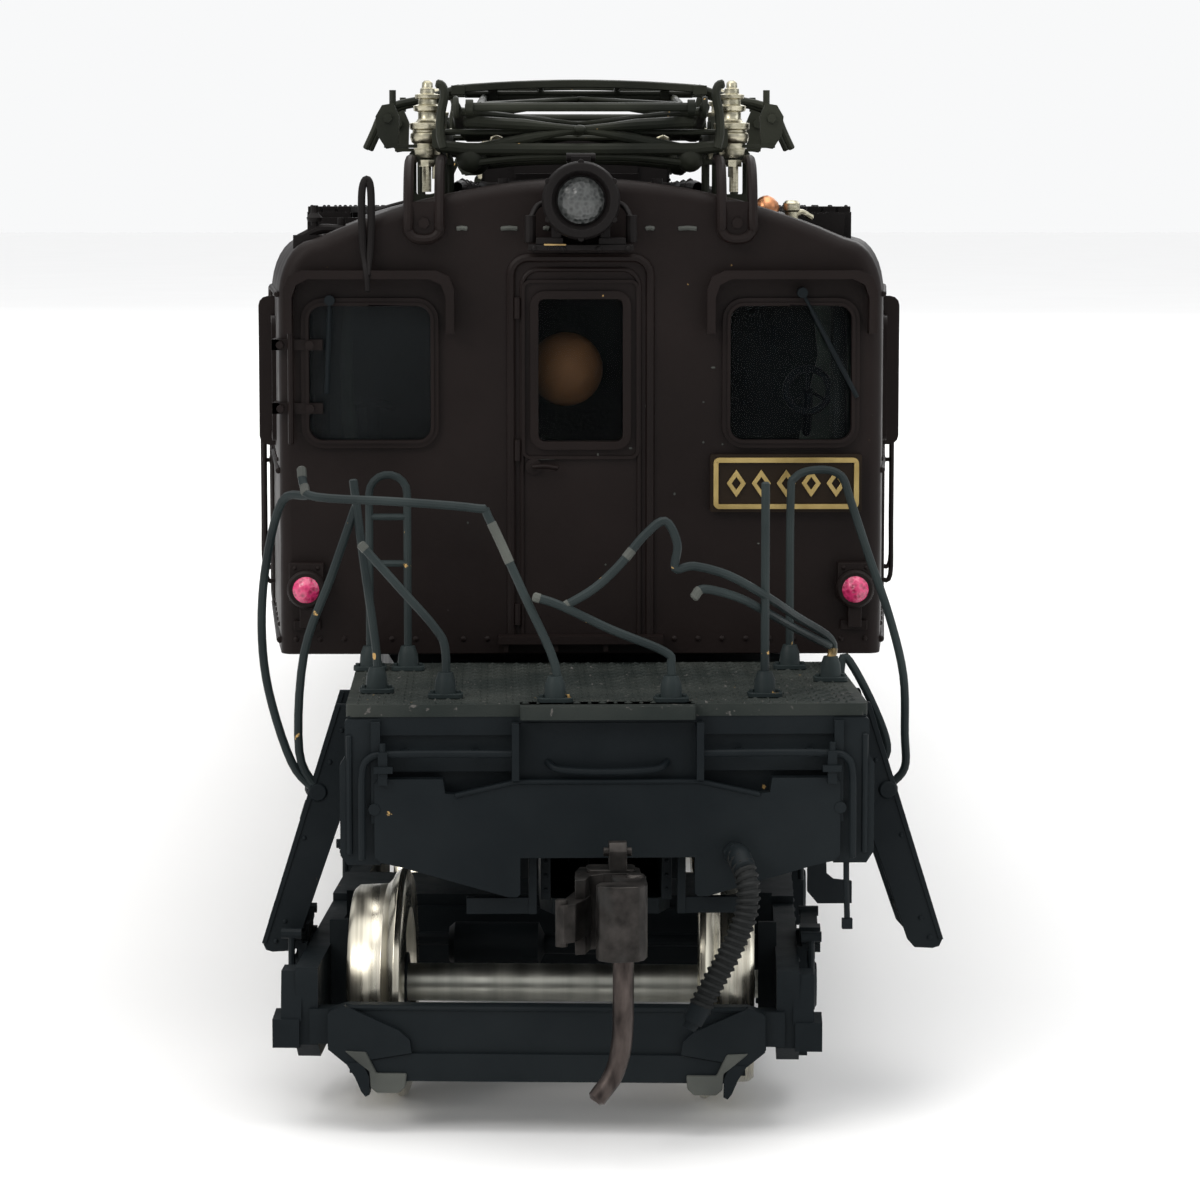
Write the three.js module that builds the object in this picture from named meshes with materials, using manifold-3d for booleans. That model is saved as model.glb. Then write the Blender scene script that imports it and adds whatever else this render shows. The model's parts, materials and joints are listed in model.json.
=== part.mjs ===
// A 1:80 scale model of a deck-ended electric locomotive: a long brass body on two six-wheeled driving
// bogies, each led by a four-wheeled truck and carrying an open end deck with handrails.
// Millimetres. +Z is up, the front looks along -Y, and the origin is on the ground under the middle.
// Inside, heights are measured from the rail top: the wheel flanges reach FLANGE below it.
import * as THREE from "three";
import { mergeVertices } from "three/addons/utils/BufferGeometryUtils.js";
import Module from "manifold-3d";

// ---- driving dimensions ----
const FLANGE = 0.8; // how far the flanges reach below the rail top
const BACK_TO_BACK = 14.5; // between the inner faces of a pair of wheels
const TYRE = 2.8; // width of a wheel
const FLANGE_WIDTH = 0.8;
const DRIVER_R = 7.8; // tread radius of the driving wheels
const LEADER_R = 4.95; // tread radius of the leading wheels
const DRIVER_Y = [-61, -37.5, -14]; // driving axles of the front bogie
const LEADER_Y = [-109, -82.5]; // leading axles of the front truck
const BOGIE_PIVOT_Y = -47;
const TRUCK_PIVOT_Y = -70;
const BOGIE_SWING = THREE.MathUtils.degToRad(0.95); // how far the bogies stand turned at rest
const TRUCK_SWING = THREE.MathUtils.degToRad(-3.6); // the leading truck, against its bogie

const BODY_HALF_LENGTH = 99.5;
const NOSE_HALF_WIDTH = 15.75; // at the flat end faces
const BODY_HALF_WIDTH = 17.5; // behind the taper
const TAPER = 20; // length of the taper at each end
const WALL = 0.8;
const SILL = 20.5; // bottom edge of the body
const EAVES = 39; // where the side starts to curve in
const CORNICE = 42.1; // where the side's curve meets the roof
const CROWN = 45.3; // top of the roof
const SHOULDER = 1.8; // how far the side curves in

const DECK_TOP = 20.2;
const DECK_FRONT = -116.5;
const DECK_BACK = -99.8;
const DECK_HALF_WIDTH = 12.55;
const WIRE = 0.22; // radius of the handrail wire
const GAP = 0.3; // between neighbouring pieces

const PAN_Y = -86.5; // middle of the front pantograph
const PAN_ARM = 11; // length of every arm, pivot to pivot
const PAN_OFFSET = 1.5; // pivots fore and aft of the middle, below and above
const PAN_PIVOT = 48.2; // height of the lower pivots
const PAN_FOLDED = THREE.MathUtils.degToRad(4); // slope of the folded arms
const LOWER_ARM_X = 6.45;
const UPPER_ARM_X = 5.2;

// ---- solids ----
const wasm = await Module();
wasm.setup();

function toSolid(geometry) {
  const bare = geometry.clone();
  bare.deleteAttribute("normal");
  bare.deleteAttribute("uv");
  const merged = mergeVertices(bare, 1e-4);
  const mesh = new wasm.Mesh({
    numProp: 3,
    vertProperties: merged.attributes.position.array,
    triVerts: new Uint32Array(merged.index.array),
  });
  return new wasm.Manifold(mesh);
}

function toGeometry(solid) {
  const mesh = solid.getMesh();
  return new THREE.BufferGeometry()
    .setAttribute("position", new THREE.BufferAttribute(mesh.vertProperties, mesh.numProp))
    .setIndex(new THREE.BufferAttribute(mesh.triVerts, 1));
}

function join(...geometries) {
  return toGeometry(geometries.flat(3).map(toSolid).reduce((a, b) => a.add(b)));
}

function cut(geometry, ...tools) {
  return toGeometry(tools.flat(3).map(toSolid).reduce((a, b) => a.subtract(b), toSolid(geometry)));
}

function box(x0, x1, y0, y1, z0, z1) {
  const g = new THREE.BoxGeometry(x1 - x0, y1 - y0, z1 - z0);
  return g.translate((x0 + x1) / 2, (y0 + y1) / 2, (z0 + z1) / 2);
}

// A round bar between two points.
function rod(from, to, r, sides = 8) {
  const a = new THREE.Vector3(...from);
  const b = new THREE.Vector3(...to);
  const axis = b.clone().sub(a);
  const g = new THREE.CylinderGeometry(r, r, axis.length(), sides);
  const turn = new THREE.Quaternion().setFromUnitVectors(new THREE.Vector3(0, 1, 0), axis.normalize());
  return g.applyQuaternion(turn).translate(...a.add(b).multiplyScalar(0.5).toArray());
}

// Wire bent smoothly through the given points.
function wire(points, r = WIRE, steps = Math.round(points.length * 1.5), sides = 6) {
  const curve = new THREE.CatmullRomCurve3(points.map((p) => new THREE.Vector3(...p)));
  const section = new THREE.Shape();
  section.absarc(0, 0, r, 0, 2 * Math.PI);
  const options = { steps, extrudePath: curve, curveSegments: sides / 2 };
  return new THREE.ExtrudeGeometry(section, options);
}

// A flat plate from an outline: [u, v] points drawn in the plane across the axis, from lo to hi along it.
function plate(axis, lo, hi, outline, holes = []) {
  const points = outline.map(([u, v]) => new THREE.Vector2(u, v));
  if (THREE.ShapeUtils.isClockWise(points)) points.reverse();
  const shape = new THREE.Shape(points);
  shape.holes = holes;
  const g = new THREE.ExtrudeGeometry(shape, { depth: hi - lo, bevelEnabled: false, curveSegments: 10 });
  const [x, y, z] = ["x", "y", "z"].map((_, i) => new THREE.Vector3().setComponent(i, 1));
  const turn = new THREE.Matrix4();
  if (axis === "x") turn.makeBasis(y, z, x).setPosition(lo, 0, 0);
  if (axis === "y") turn.makeBasis(x, z, y.negate()).setPosition(0, hi, 0);
  if (axis === "z") turn.setPosition(0, 0, lo);
  return g.applyMatrix4(turn);
}

function roundHole(u, v, r) {
  const path = new THREE.Path();
  path.absarc(u, v, r, 0, 2 * Math.PI, true);
  return path;
}

function squareHole(half, v0, v1) {
  const corners = [[-half, v0], [-half, v1], [half, v1], [half, v0]];
  return new THREE.Path(corners.map(([u, v]) => new THREE.Vector2(u, v)));
}

// The outline of a rectangle with rounded corners, three points to a corner.
function rounded(u0, u1, v0, v1, r) {
  const corners = [[u1 - r, v0 + r, -90], [u1 - r, v1 - r, 0], [u0 + r, v1 - r, 90], [u0 + r, v0 + r, 180]];
  return corners.flatMap(([u, v, start]) =>
    [0, 45, 90].map((step) => {
      const angle = THREE.MathUtils.degToRad(start + step);
      return [u + r * Math.cos(angle), v + r * Math.sin(angle)];
    }),
  );
}

// A turned piece: [along, radius] points from end to end, about the X axis, with a flat facing down.
function turned(profile, sides) {
  const points = profile.map(([along, r]) => new THREE.Vector2(r / Math.cos(Math.PI / sides), along));
  const g = new THREE.LatheGeometry(points, sides, Math.PI / sides);
  return g.rotateZ(-Math.PI / 2);
}

// A closed skin through rings of the same number of points, each ring in a plane of constant Y.
function loft(rings) {
  const n = rings[0].length;
  const caps = THREE.ShapeUtils.triangulateShape(rings[0].map((p) => new THREE.Vector2(p[0], p[2])), []);
  const index = [];
  for (let k = 0; k + 1 < rings.length; k++) {
    for (let i = 0; i < n; i++) {
      const a = k * n + i;
      const b = k * n + ((i + 1) % n);
      index.push(a, b, a + n, b, b + n, a + n);
    }
  }
  const last = (rings.length - 1) * n;
  for (const [a, b, c] of caps) index.push(a, c, b, last + a, last + b, last + c);
  const g = new THREE.BufferGeometry();
  g.setAttribute("position", new THREE.Float32BufferAttribute(rings.flat(2), 3));
  g.setIndex(index);
  const solid = g.toNonIndexed();
  if (toSolid(solid).volume() > 0) return solid;
  g.setIndex(index.reverse());
  return g.toNonIndexed();
}

// ---- the tree ----
const locomotive = new THREE.Group();
const onRails = new THREE.Group();
onRails.position.z = FLANGE;
locomotive.add(onRails);

const finishes = {
  body: { color: 0x2b201f, roughness: 0.55, metalness: 0.2 },
  frame: { color: 0x1c1e1f, roughness: 0.65, metalness: 0.2 },
  steel: { color: 0xb9b6ad, roughness: 0.3, metalness: 1 },
  brass: { color: 0x9a7a45, roughness: 0.4, metalness: 1 },
  glass: { color: 0xd8e2e0, roughness: 0.1, metalness: 0 },
  lens: { color: 0xc4123c, roughness: 0.15, metalness: 0 },
  rubber: { color: 0x141414, roughness: 0.8, metalness: 0 },
  plate: { color: 0xa07a30, roughness: 0.4, metalness: 0.8 },
};

function add(parent, name, geometry, finish) {
  const mesh = new THREE.Mesh(geometry, new THREE.MeshStandardMaterial(finishes[finish]));
  mesh.name = name;
  parent.add(mesh);
}

// A group turned about an upright axis at (0, y), whose own coordinates stay those of its parent.
function pivoted(parent, y, angle) {
  const axis = new THREE.Group();
  axis.position.y = y;
  axis.rotation.z = angle;
  const inner = new THREE.Group();
  inner.position.y = -y;
  axis.add(inner);
  parent.add(axis);
  return inner;
}

// ---- body shell ----
// Half the cross-section from the sill up to the crown, then mirrored; inset shrinks it for the inside.
function bodyRing(y, halfWidth, inset, bottom) {
  const w = halfWidth - inset;
  const right = [[w, bottom], [w, EAVES - inset / 2]];
  for (const t of [1 / 3, 2 / 3]) {
    const angle = (t * Math.PI) / 2;
    const height = EAVES + (CORNICE - EAVES) * Math.sin(angle) - inset / 2;
    right.push([w - SHOULDER * (1 - Math.cos(angle)), height]);
  }
  const edge = w - SHOULDER;
  for (const t of [1, 0.75, 0.5, 0.25]) {
    right.push([edge * t, CORNICE + (CROWN - CORNICE) * (1 - t * t) - inset]);
  }
  const left = right.map(([x, z]) => [-x, z]).reverse();
  return [...right, [0, CROWN - inset], ...left].map(([x, z]) => [x, y, z]);
}

function bodyForm(inset, bottom) {
  const end = BODY_HALF_LENGTH - inset;
  const shoulderY = BODY_HALF_LENGTH - TAPER;
  return loft([
    bodyRing(-end, NOSE_HALF_WIDTH, inset, bottom),
    bodyRing(-shoulderY, BODY_HALF_WIDTH, inset, bottom),
    bodyRing(shoulderY, BODY_HALF_WIDTH, inset, bottom),
    bodyRing(end, NOSE_HALF_WIDTH, inset, bottom),
  ]);
}

const WINDOW = { inner: 7.7, outer: 14.2, bottom: 31.65, top: 38.8, corner: 0.8 };
const DOOR_WINDOW = { half: 2.2, bottom: 31.66, top: 39.06 };
const SIDE_WINDOWS = [-60, -36, -12, 12, 36, 60]; // along the body
const CAB_WINDOWS = [-91, 91, -79.5, 79.5]; // cab side window and the door's window
const SIDE_WINDOW_HALF = 3.2;
const CAB_WINDOW_HALF = 2.4;

function endWindows(sign) {
  const lo = sign < 0 ? -BODY_HALF_LENGTH - 1 : BODY_HALF_LENGTH - 2 * WALL;
  const hi = lo + 2 * WALL + 1;
  const { inner, outer, bottom, top, corner } = WINDOW;
  const door = DOOR_WINDOW;
  return [
    plate("y", lo, hi, rounded(inner, outer, bottom, top, corner)),
    plate("y", lo, hi, rounded(-outer, -inner, bottom, top, corner)),
    plate("y", lo, hi, rounded(-door.half, door.half, door.bottom, door.top, 0.3)),
  ];
}

function sideWindow(y, half) {
  return box(-BODY_HALF_WIDTH - 1, BODY_HALF_WIDTH + 1, y - half, y + half, 31.7, 37.6);
}

const HOOD_REACH = 1.2;
const HOOD_X = 10.95;

// A hood over an end window: a bent strip with short legs.
function hood(x, sign) {
  const outline = [
    [-4.25, 37.4], [-4.25, 39.9], [-3.75, 40.4], [3.75, 40.4], [4.25, 39.9], [4.25, 37.4],
    [3.85, 37.4], [3.85, 39.7], [3.55, 40], [-3.55, 40], [-3.85, 39.7], [-3.85, 37.4],
  ].map(([u, v]) => [u + x, v]);
  const face = sign * BODY_HALF_LENGTH;
  const [lo, hi] = [face - sign * 0.3, face + sign * HOOD_REACH].sort((a, b) => a - b);
  return plate("y", lo, hi, outline);
}

function endTrim(sign) {
  const face = sign * BODY_HALF_LENGTH;
  const [lo, hi] = [face, face + sign * 0.25].sort((a, b) => a - b);
  const frameOf = (u0, u1, v0, v1, width, r) => {
    const inner = new THREE.Path(rounded(u0, u1, v0, v1, r).map(([u, v]) => new THREE.Vector2(u, v)));
    const outer = rounded(u0 - width, u1 + width, v0 - width, v1 + width, r + width);
    return plate("y", lo - 0.05, hi + 0.05, outer, [inner]);
  };
  const { inner, outer, bottom, top, corner } = WINDOW;
  return [
    frameOf(inner, outer, bottom, top, 0.45, corner),
    frameOf(-outer, -inner, bottom, top, 0.45, corner),
    frameOf(-DOOR_WINDOW.half, DOOR_WINDOW.half, DOOR_WINDOW.bottom, DOOR_WINDOW.top, 0.5, 0.3),
    frameOf(-3.6, 3.6, 21.5, 41.1, 0.45, 0.9), // the bead round the gangway door
    hood(HOOD_X, sign),
    hood(-HOOD_X, sign),
  ];
}

// The flat wind plates that stand out of both sides behind the cab front.
function windPlates(sign) {
  const y = sign * (BODY_HALF_LENGTH - 9.6);
  return [-1, 1].map((side) => {
    const [x0, x1] = [side * 16.2, side * 17.4].sort((a, b) => a - b);
    return box(x0, x1, y - 0.3, y + 0.3, 30.9, 39);
  });
}

const shell = cut(
  join(bodyForm(0, SILL), endTrim(-1), endTrim(1), windPlates(-1), windPlates(1)),
  bodyForm(WALL, SILL - 5),
  endWindows(-1),
  endWindows(1),
  SIDE_WINDOWS.map((y) => sideWindow(y, SIDE_WINDOW_HALF)),
  CAB_WINDOWS.map((y) => sideWindow(y, CAB_WINDOW_HALF)),
);
add(onRails, "body_shell", shell, "body");

// ---- floor with the bogie pivot pins ----
const FLOOR_HALF_WIDTH = 14.5;
const FLOOR_TOP = SILL + 1.2;
const FLOOR_HALF_LENGTH = BODY_HALF_LENGTH - WALL - GAP;
const PIVOT_PIN_R = 1.7;
const motorOpening = (sign) => {
  const [y0, y1] = [sign * 40, sign * 5].sort((a, b) => a - b);
  return box(-11, 11, y0, y1, SILL - 1, FLOOR_TOP + 1);
};
const floor = cut(
  box(-FLOOR_HALF_WIDTH, FLOOR_HALF_WIDTH, -FLOOR_HALF_LENGTH, FLOOR_HALF_LENGTH, SILL, FLOOR_TOP),
  motorOpening(-1),
  motorOpening(1),
);
const pins = [-1, 1].map((sign) =>
  rod([0, sign * BOGIE_PIVOT_Y, 16.6], [0, sign * BOGIE_PIVOT_Y, SILL + 0.5], PIVOT_PIN_R, 12),
);
add(onRails, "chassis_floor", join(floor, pins), "frame");

// ---- glazing ----
const GLASS = 0.4;
function glassPane(side) {
  const x = side * (BODY_HALF_WIDTH - WALL - GAP);
  const [x0, x1] = [x, x - side * GLASS].sort((a, b) => a - b);
  return box(x0, x1, -66, 66, 30.5, 38.5);
}
add(onRails, "glazing_left", glassPane(-1), "glass");
add(onRails, "glazing_right", glassPane(1), "glass");

// ---- roof ----
const walkwayOutline = [[-92, 43.5], [92, 43.5], [92, 43.85], [-92, 43.85]];
add(onRails, "roof_walkway_left", plate("x", -14.6, -12.3, walkwayOutline), "frame");
add(onRails, "roof_walkway_right", plate("x", 12.3, 14.6, walkwayOutline), "frame");
const monitorOutline = [[-5.6, 45], [5.6, 45], [5.6, 47.4], [4.6, 48.2], [-4.6, 48.2], [-5.6, 47.4]];
const monitor = plate("y", -62, 62, monitorOutline);
add(onRails, "roof_ventilator", cut(monitor, bodyForm(-GAP, SILL)), "body");

// ---- wheels ----
const AXLE_R = 0.95;
const JOURNAL_R = 0.7;
const JOURNAL_END = 11.75;

function wheelset(treadR, sides, gearR) {
  const inner = BACK_TO_BACK / 2;
  const outer = inner + TYRE;
  const half = [
    [inner, AXLE_R],
    [inner, treadR + FLANGE],
    [inner + FLANGE_WIDTH, treadR + FLANGE],
    [inner + FLANGE_WIDTH, treadR],
    [outer, treadR],
    [outer, JOURNAL_R],
    [JOURNAL_END, JOURNAL_R],
    [JOURNAL_END, 0],
  ];
  const gearHalf = 1.4;
  const gear = [[-gearHalf, AXLE_R], [-gearHalf, gearR], [gearHalf, gearR], [gearHalf, AXLE_R]];
  const middle = gearR ? gear : [];
  const mirrored = half.map(([x, r]) => [-x, r]).reverse();
  return turned([...mirrored, ...middle, ...half], sides);
}

// ---- driving bogie ----
const FRAME_IN = 11.1;
const FRAME_OUT = 12.2;
const JOURNAL_HOLE_R = 1.05;
const TOP_PLATE = [17, 18.1];
const WORM_SHAFT = 13.2; // height of the worm shaft
const MOTOR_AXIS = 21.9; // height of the motor shaft
const MOTOR_R = 6.4;
const MOTOR_Y = [-37, -13];
const GEAR_Y = -8; // the gear pair at the bogie's inner end
const WORM_WHEEL_R = 4;
const WORM_R = 1.05;

// An axlebox on the outside of a side frame.
function axlebox(side, y, axle) {
  const [x0, x1] = [side * (FRAME_OUT - 0.2), side * (FRAME_OUT + 1)].sort((a, b) => a - b);
  return box(x0, x1, y - 1.7, y + 1.7, axle - 1.8, axle + 1.6);
}

function journalHoles(axles, height) {
  const hole = (side, y) =>
    rod([side * (FRAME_IN - 1), y, height], [side * (FRAME_OUT - 0.2), y, height], JOURNAL_HOLE_R);
  return axles.flatMap((y) => [hole(-1, y), hole(1, y)]);
}

function bogieSide(side) {
  const [x0, x1] = [side * FRAME_IN, side * FRAME_OUT].sort((a, b) => a - b);
  const bottom = DRIVER_Y.flatMap((y) => [[y - 3.4, 8.4], [y - 2.4, 4.6], [y + 2.4, 4.6], [y + 3.4, 8.4]]);
  const inner = [[-8, 8.4], [-5.6, 10.8], [-5.6, 18.1]];
  const outer = [[-72, 18.1], [-72, 14], [-70.5, 12.4], [-66.2, 8.4]];
  return plate("x", x0, x1, [...bottom, ...inner, ...outer]);
}

function bogieFrame() {
  const top = plate(
    "z", TOP_PLATE[0], TOP_PLATE[1],
    [[-FRAME_OUT, -72], [-8, -114.6], [8, -114.6], [FRAME_OUT, -72], [FRAME_OUT, -5.6], [-FRAME_OUT, -5.6]],
    [
      squareHole(7.2, -39, -11.4), // the motor
      squareHole(6.2, -9.4, -6.7), // the gears
      roundHole(0, BOGIE_PIVOT_Y, PIVOT_PIN_R + 0.25),
    ],
  );
  const lugs = [-67.2, -10.4].map((y) => box(-2.4, 2.4, y - 0.5, y + 0.5, 11.2, 17.5));
  const whole = join(
    top, bogieSide(-1), bogieSide(1), lugs,
    [-1, 1].map((side) => DRIVER_Y.map((y) => axlebox(side, y, DRIVER_R))),
    rod([0, TRUCK_PIVOT_Y, 6.4], [0, TRUCK_PIVOT_Y, 17.5], 1.05, 10),
  );
  return cut(
    whole,
    journalHoles(DRIVER_Y, DRIVER_R),
    rod([0, -68.5, WORM_SHAFT], [0, -9, WORM_SHAFT], 0.95, 10),
  );
}

// A toothed wheel about the Y axis: straight-sided teeth on an outline, between two Y values.
function spurGear(teeth, root, tip, y0, y1, z, phase) {
  const outline = [];
  for (let i = 0; i < teeth; i++) {
    for (const [step, r] of [[0.18, tip], [0.36, tip], [0.77, root]]) {
      const angle = ((i + step + phase) / teeth) * 2 * Math.PI;
      outline.push([r * Math.cos(angle), z + r * Math.sin(angle)]);
    }
  }
  return plate("y", y0, y1, outline);
}

function yTurned(profile, sides, z) {
  return turned(profile, sides).rotateZ(Math.PI / 2).translate(0, 0, z);
}

function motorCan() {
  const [y0, y1] = MOTOR_Y;
  return yTurned(
    [
      [y0, 1.1], [y0, MOTOR_R], [y1, MOTOR_R], [y1, 1.1], [y1 - 1, 1.1],
      [y1 - 1, MOTOR_R - 0.9], [y0 + 1, MOTOR_R - 0.9], [y0 + 1, 1.1], [y0, 1.1],
    ],
    14, MOTOR_AXIS,
  );
}

function armature() {
  const [y0, y1] = MOTOR_Y;
  return join(
    yTurned(
      [
        [y0 - 2, 0], [y0 - 2, 0.75], [y0 + 3, 0.75], [y0 + 3, 4.9], [y1 - 6, 4.9], [y1 - 6, 2.2],
        [y1 - 3, 2.2], [y1 - 3, 0.75], [GEAR_Y + 1.2, 0.75], [GEAR_Y + 1.2, 0],
      ],
      10, MOTOR_AXIS,
    ),
    spurGear(12, 2.55, 3.4, GEAR_Y - 0.9, GEAR_Y + 0.9, MOTOR_AXIS, 0.73),
  );
}

function wormShaft() {
  const shaftR = 0.7;
  const worms = DRIVER_Y.flatMap((y) => [
    [y - 3.4, shaftR], [y - 3.4, WORM_R], [y + 2.6, WORM_R], [y + 2.6, shaftR],
  ]);
  const ends = [[GEAR_Y + 1.2, shaftR], [GEAR_Y + 1.2, 0]];
  return join(
    yTurned([[-68.8, 0], [-68.8, shaftR], ...worms, ...ends], 8, WORM_SHAFT),
    spurGear(20, 4.65, 5.5, GEAR_Y - 0.75, GEAR_Y + 0.75, WORM_SHAFT, 0.23),
  );
}

// ---- leading truck ----
const TRUCK_TOP = 7.2;
const GUARD_Y = -117.2; // front of the guard beam

function truckSide(side) {
  const [x0, x1] = [side * FRAME_IN, side * FRAME_OUT].sort((a, b) => a - b);
  const bottom = [
    [-116.7, 3.4], [-115.6, 2.6], [-106, 2.6], [-104, 4.2],
    [-87.5, 4.2], [-85.5, 2.6], [-79.5, 2.6], [-77.5, 4.4],
  ];
  return plate("x", x0, x1, [...bottom, [-77.5, TRUCK_TOP], [-116.7, TRUCK_TOP]]);
}

function truckFrame() {
  const half = [[8.9, 1.75], [9.7, 2.6], [10.6, 3.3], [10.6, 5.2], [9.7, 5.5]];
  const guard = [...half, ...half.map(([x, z]) => [-x, z]).reverse()];
  const foot = (side) => {
    const outline = [
      [6.9, 2.2], [7.1, 1.3], [8.4, 1.3], [8.75, 1.1], [9.3, 1.9], [9.7, 2.6], [9.7, 3.6], [8.2, 3.6],
    ];
    return plate("y", GUARD_Y - 0.2, GUARD_Y + 1.3, outline.map(([x, z]) => [side * x, z]));
  };
  const corner = (side) => {
    const [x0, x1] = [side * 10, side * 11.5].sort((a, b) => a - b);
    return box(x0, x1, GUARD_Y + 0.3, GUARD_Y + 1.4, 3.5, 5.2);
  };
  const [drawbarNeck, drawbarTip] = [TRUCK_PIVOT_Y - 1, TRUCK_PIVOT_Y + 1.9];
  const drawbar = plate(
    "z", TRUCK_TOP, TRUCK_TOP + 1.1,
    [[-3, -94], [3, -94], [2.2, drawbarNeck], [1.5, drawbarTip], [-1.5, drawbarTip], [-2.2, drawbarNeck]],
    [roundHole(0, TRUCK_PIVOT_Y, 1.35)],
  );
  const boxes = [-1, 1].map((side) => LEADER_Y.map((y) => axlebox(side, y, LEADER_R)));
  return cut(
    join(
      truckSide(-1), truckSide(1), plate("y", GUARD_Y, GUARD_Y + 1.1, guard),
      [-1, 1].map(foot), [-1, 1].map(corner),
      box(-FRAME_OUT, FRAME_OUT, -99, -92.5, 6.2, 7.6), drawbar, boxes,
    ),
    journalHoles(LEADER_Y, LEADER_R),
  );
}

// ---- end deck ----
const BEAM_BOTTOM = 16.8;

function railSockets(places) {
  return places.map(([x, y]) => rod([x, y, DECK_TOP - 0.3], [x, y, DECK_TOP + 1.1], 0.65, 6));
}

function ladder(side) {
  const bar = [[12.3, 19.3], [13.3, 19.3], [17, 7.3], [16.8, 6.9], [15.6, 6.9], [15.2, 7.4], [12.3, 15.8]];
  const stringer = (y0) => plate("y", y0, y0 + 0.4, bar.map(([x, z]) => [side * x, z]));
  const tread = (z, x) => {
    const [x0, x1] = [side * (x - 1.7), side * x].sort((a, b) => a - b);
    return box(x0, x1, -110, -104.5, z, z + 0.4);
  };
  const [b0, b1] = [side * 12, side * 13.3].sort((a, b) => a - b);
  const bracket = box(b0, b1, -110.2, -104.5, 18, 18.6);
  return [stringer(-110.2), stringer(-104.9), tread(8.2, 16.6), tread(13.4, 15), bracket];
}

function deckPlates() {
  const half = [[4.2, 12.7], [4.2, 10.8], [4.8, 10.8], [10, 12.3], [10.9, 12.5], [11.3, 12.9], [11.3, 17.2]];
  const notch = [[4.4, 17.5], [4.4, 16.45], [7.3, 15.8], [7.8, 15.8], [7.8, 17.5]];
  const opposite = (outline) => outline.map(([x, z]) => [-x, z]).reverse();
  const apron = cut(
    plate("y", -117, -116.2, [...half, ...opposite(half)]),
    [notch, opposite(notch)].map((outline) => plate("y", -118, -115, outline)),
  );
  const wing = (side) => {
    const outer = [[12.6, 19.4], [12.6, 17.6], [12.85, 17.2], [12.85, 12.9], [12.5, 12.3]];
    const outline = [[10.9, 19.4], ...outer, [10.9, 12.3]];
    return plate("y", -116.6, -115.9, outline.map(([x, z]) => [side * x, z]));
  };
  return [
    box(-DECK_HALF_WIDTH, DECK_HALF_WIDTH, DECK_FRONT, DECK_BACK, 18.9, DECK_TOP),
    box(-4.2, 4.2, DECK_FRONT - 1, DECK_FRONT + 1, 19.2, DECK_TOP),
    box(-11.3, 11.3, DECK_FRONT, DECK_FRONT + 0.9, BEAM_BOTTOM, DECK_TOP - 0.5),
    apron, wing(-1), wing(1),
    [-11.3, 11.3].map((x) => box(x - 0.5, x + 0.5, DECK_FRONT, DECK_BACK - 1, 14.4, DECK_TOP - 0.5)),
    ladder(-1), ladder(1),
  ];
}

// The draft box that holds the coupler's shank, open at the front and the sides.
const COUPLER_PIVOT_Y = -108.5;
const COUPLER_Z = [10.9, 11.9];
const COUPLER_HEAD_Z = [9.1, 12.6];
function draftBox() {
  return [
    box(-3.2, 3.2, -115.9, -104, 12.5, 13.3),
    box(-3.2, 3.2, -114, -104, 9.4, 10.2),
    box(-3.2, 3.2, -104.8, -104, 9.4, 13.3),
    box(-11, 11, -116.4, -115.5, 12.7, 14.2),
    rod([0, COUPLER_PIVOT_Y, 9.6], [0, COUPLER_PIVOT_Y, 13], 0.7, 8),
  ];
}

// The grab arches that stand at the back of the deck.
const ARCH_IN = 9.85;
const ARCH_OUT = 11.8;
const ARCH_Y = -102.8;
const ARCH_RUNGS = [28, 25.6];

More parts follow.
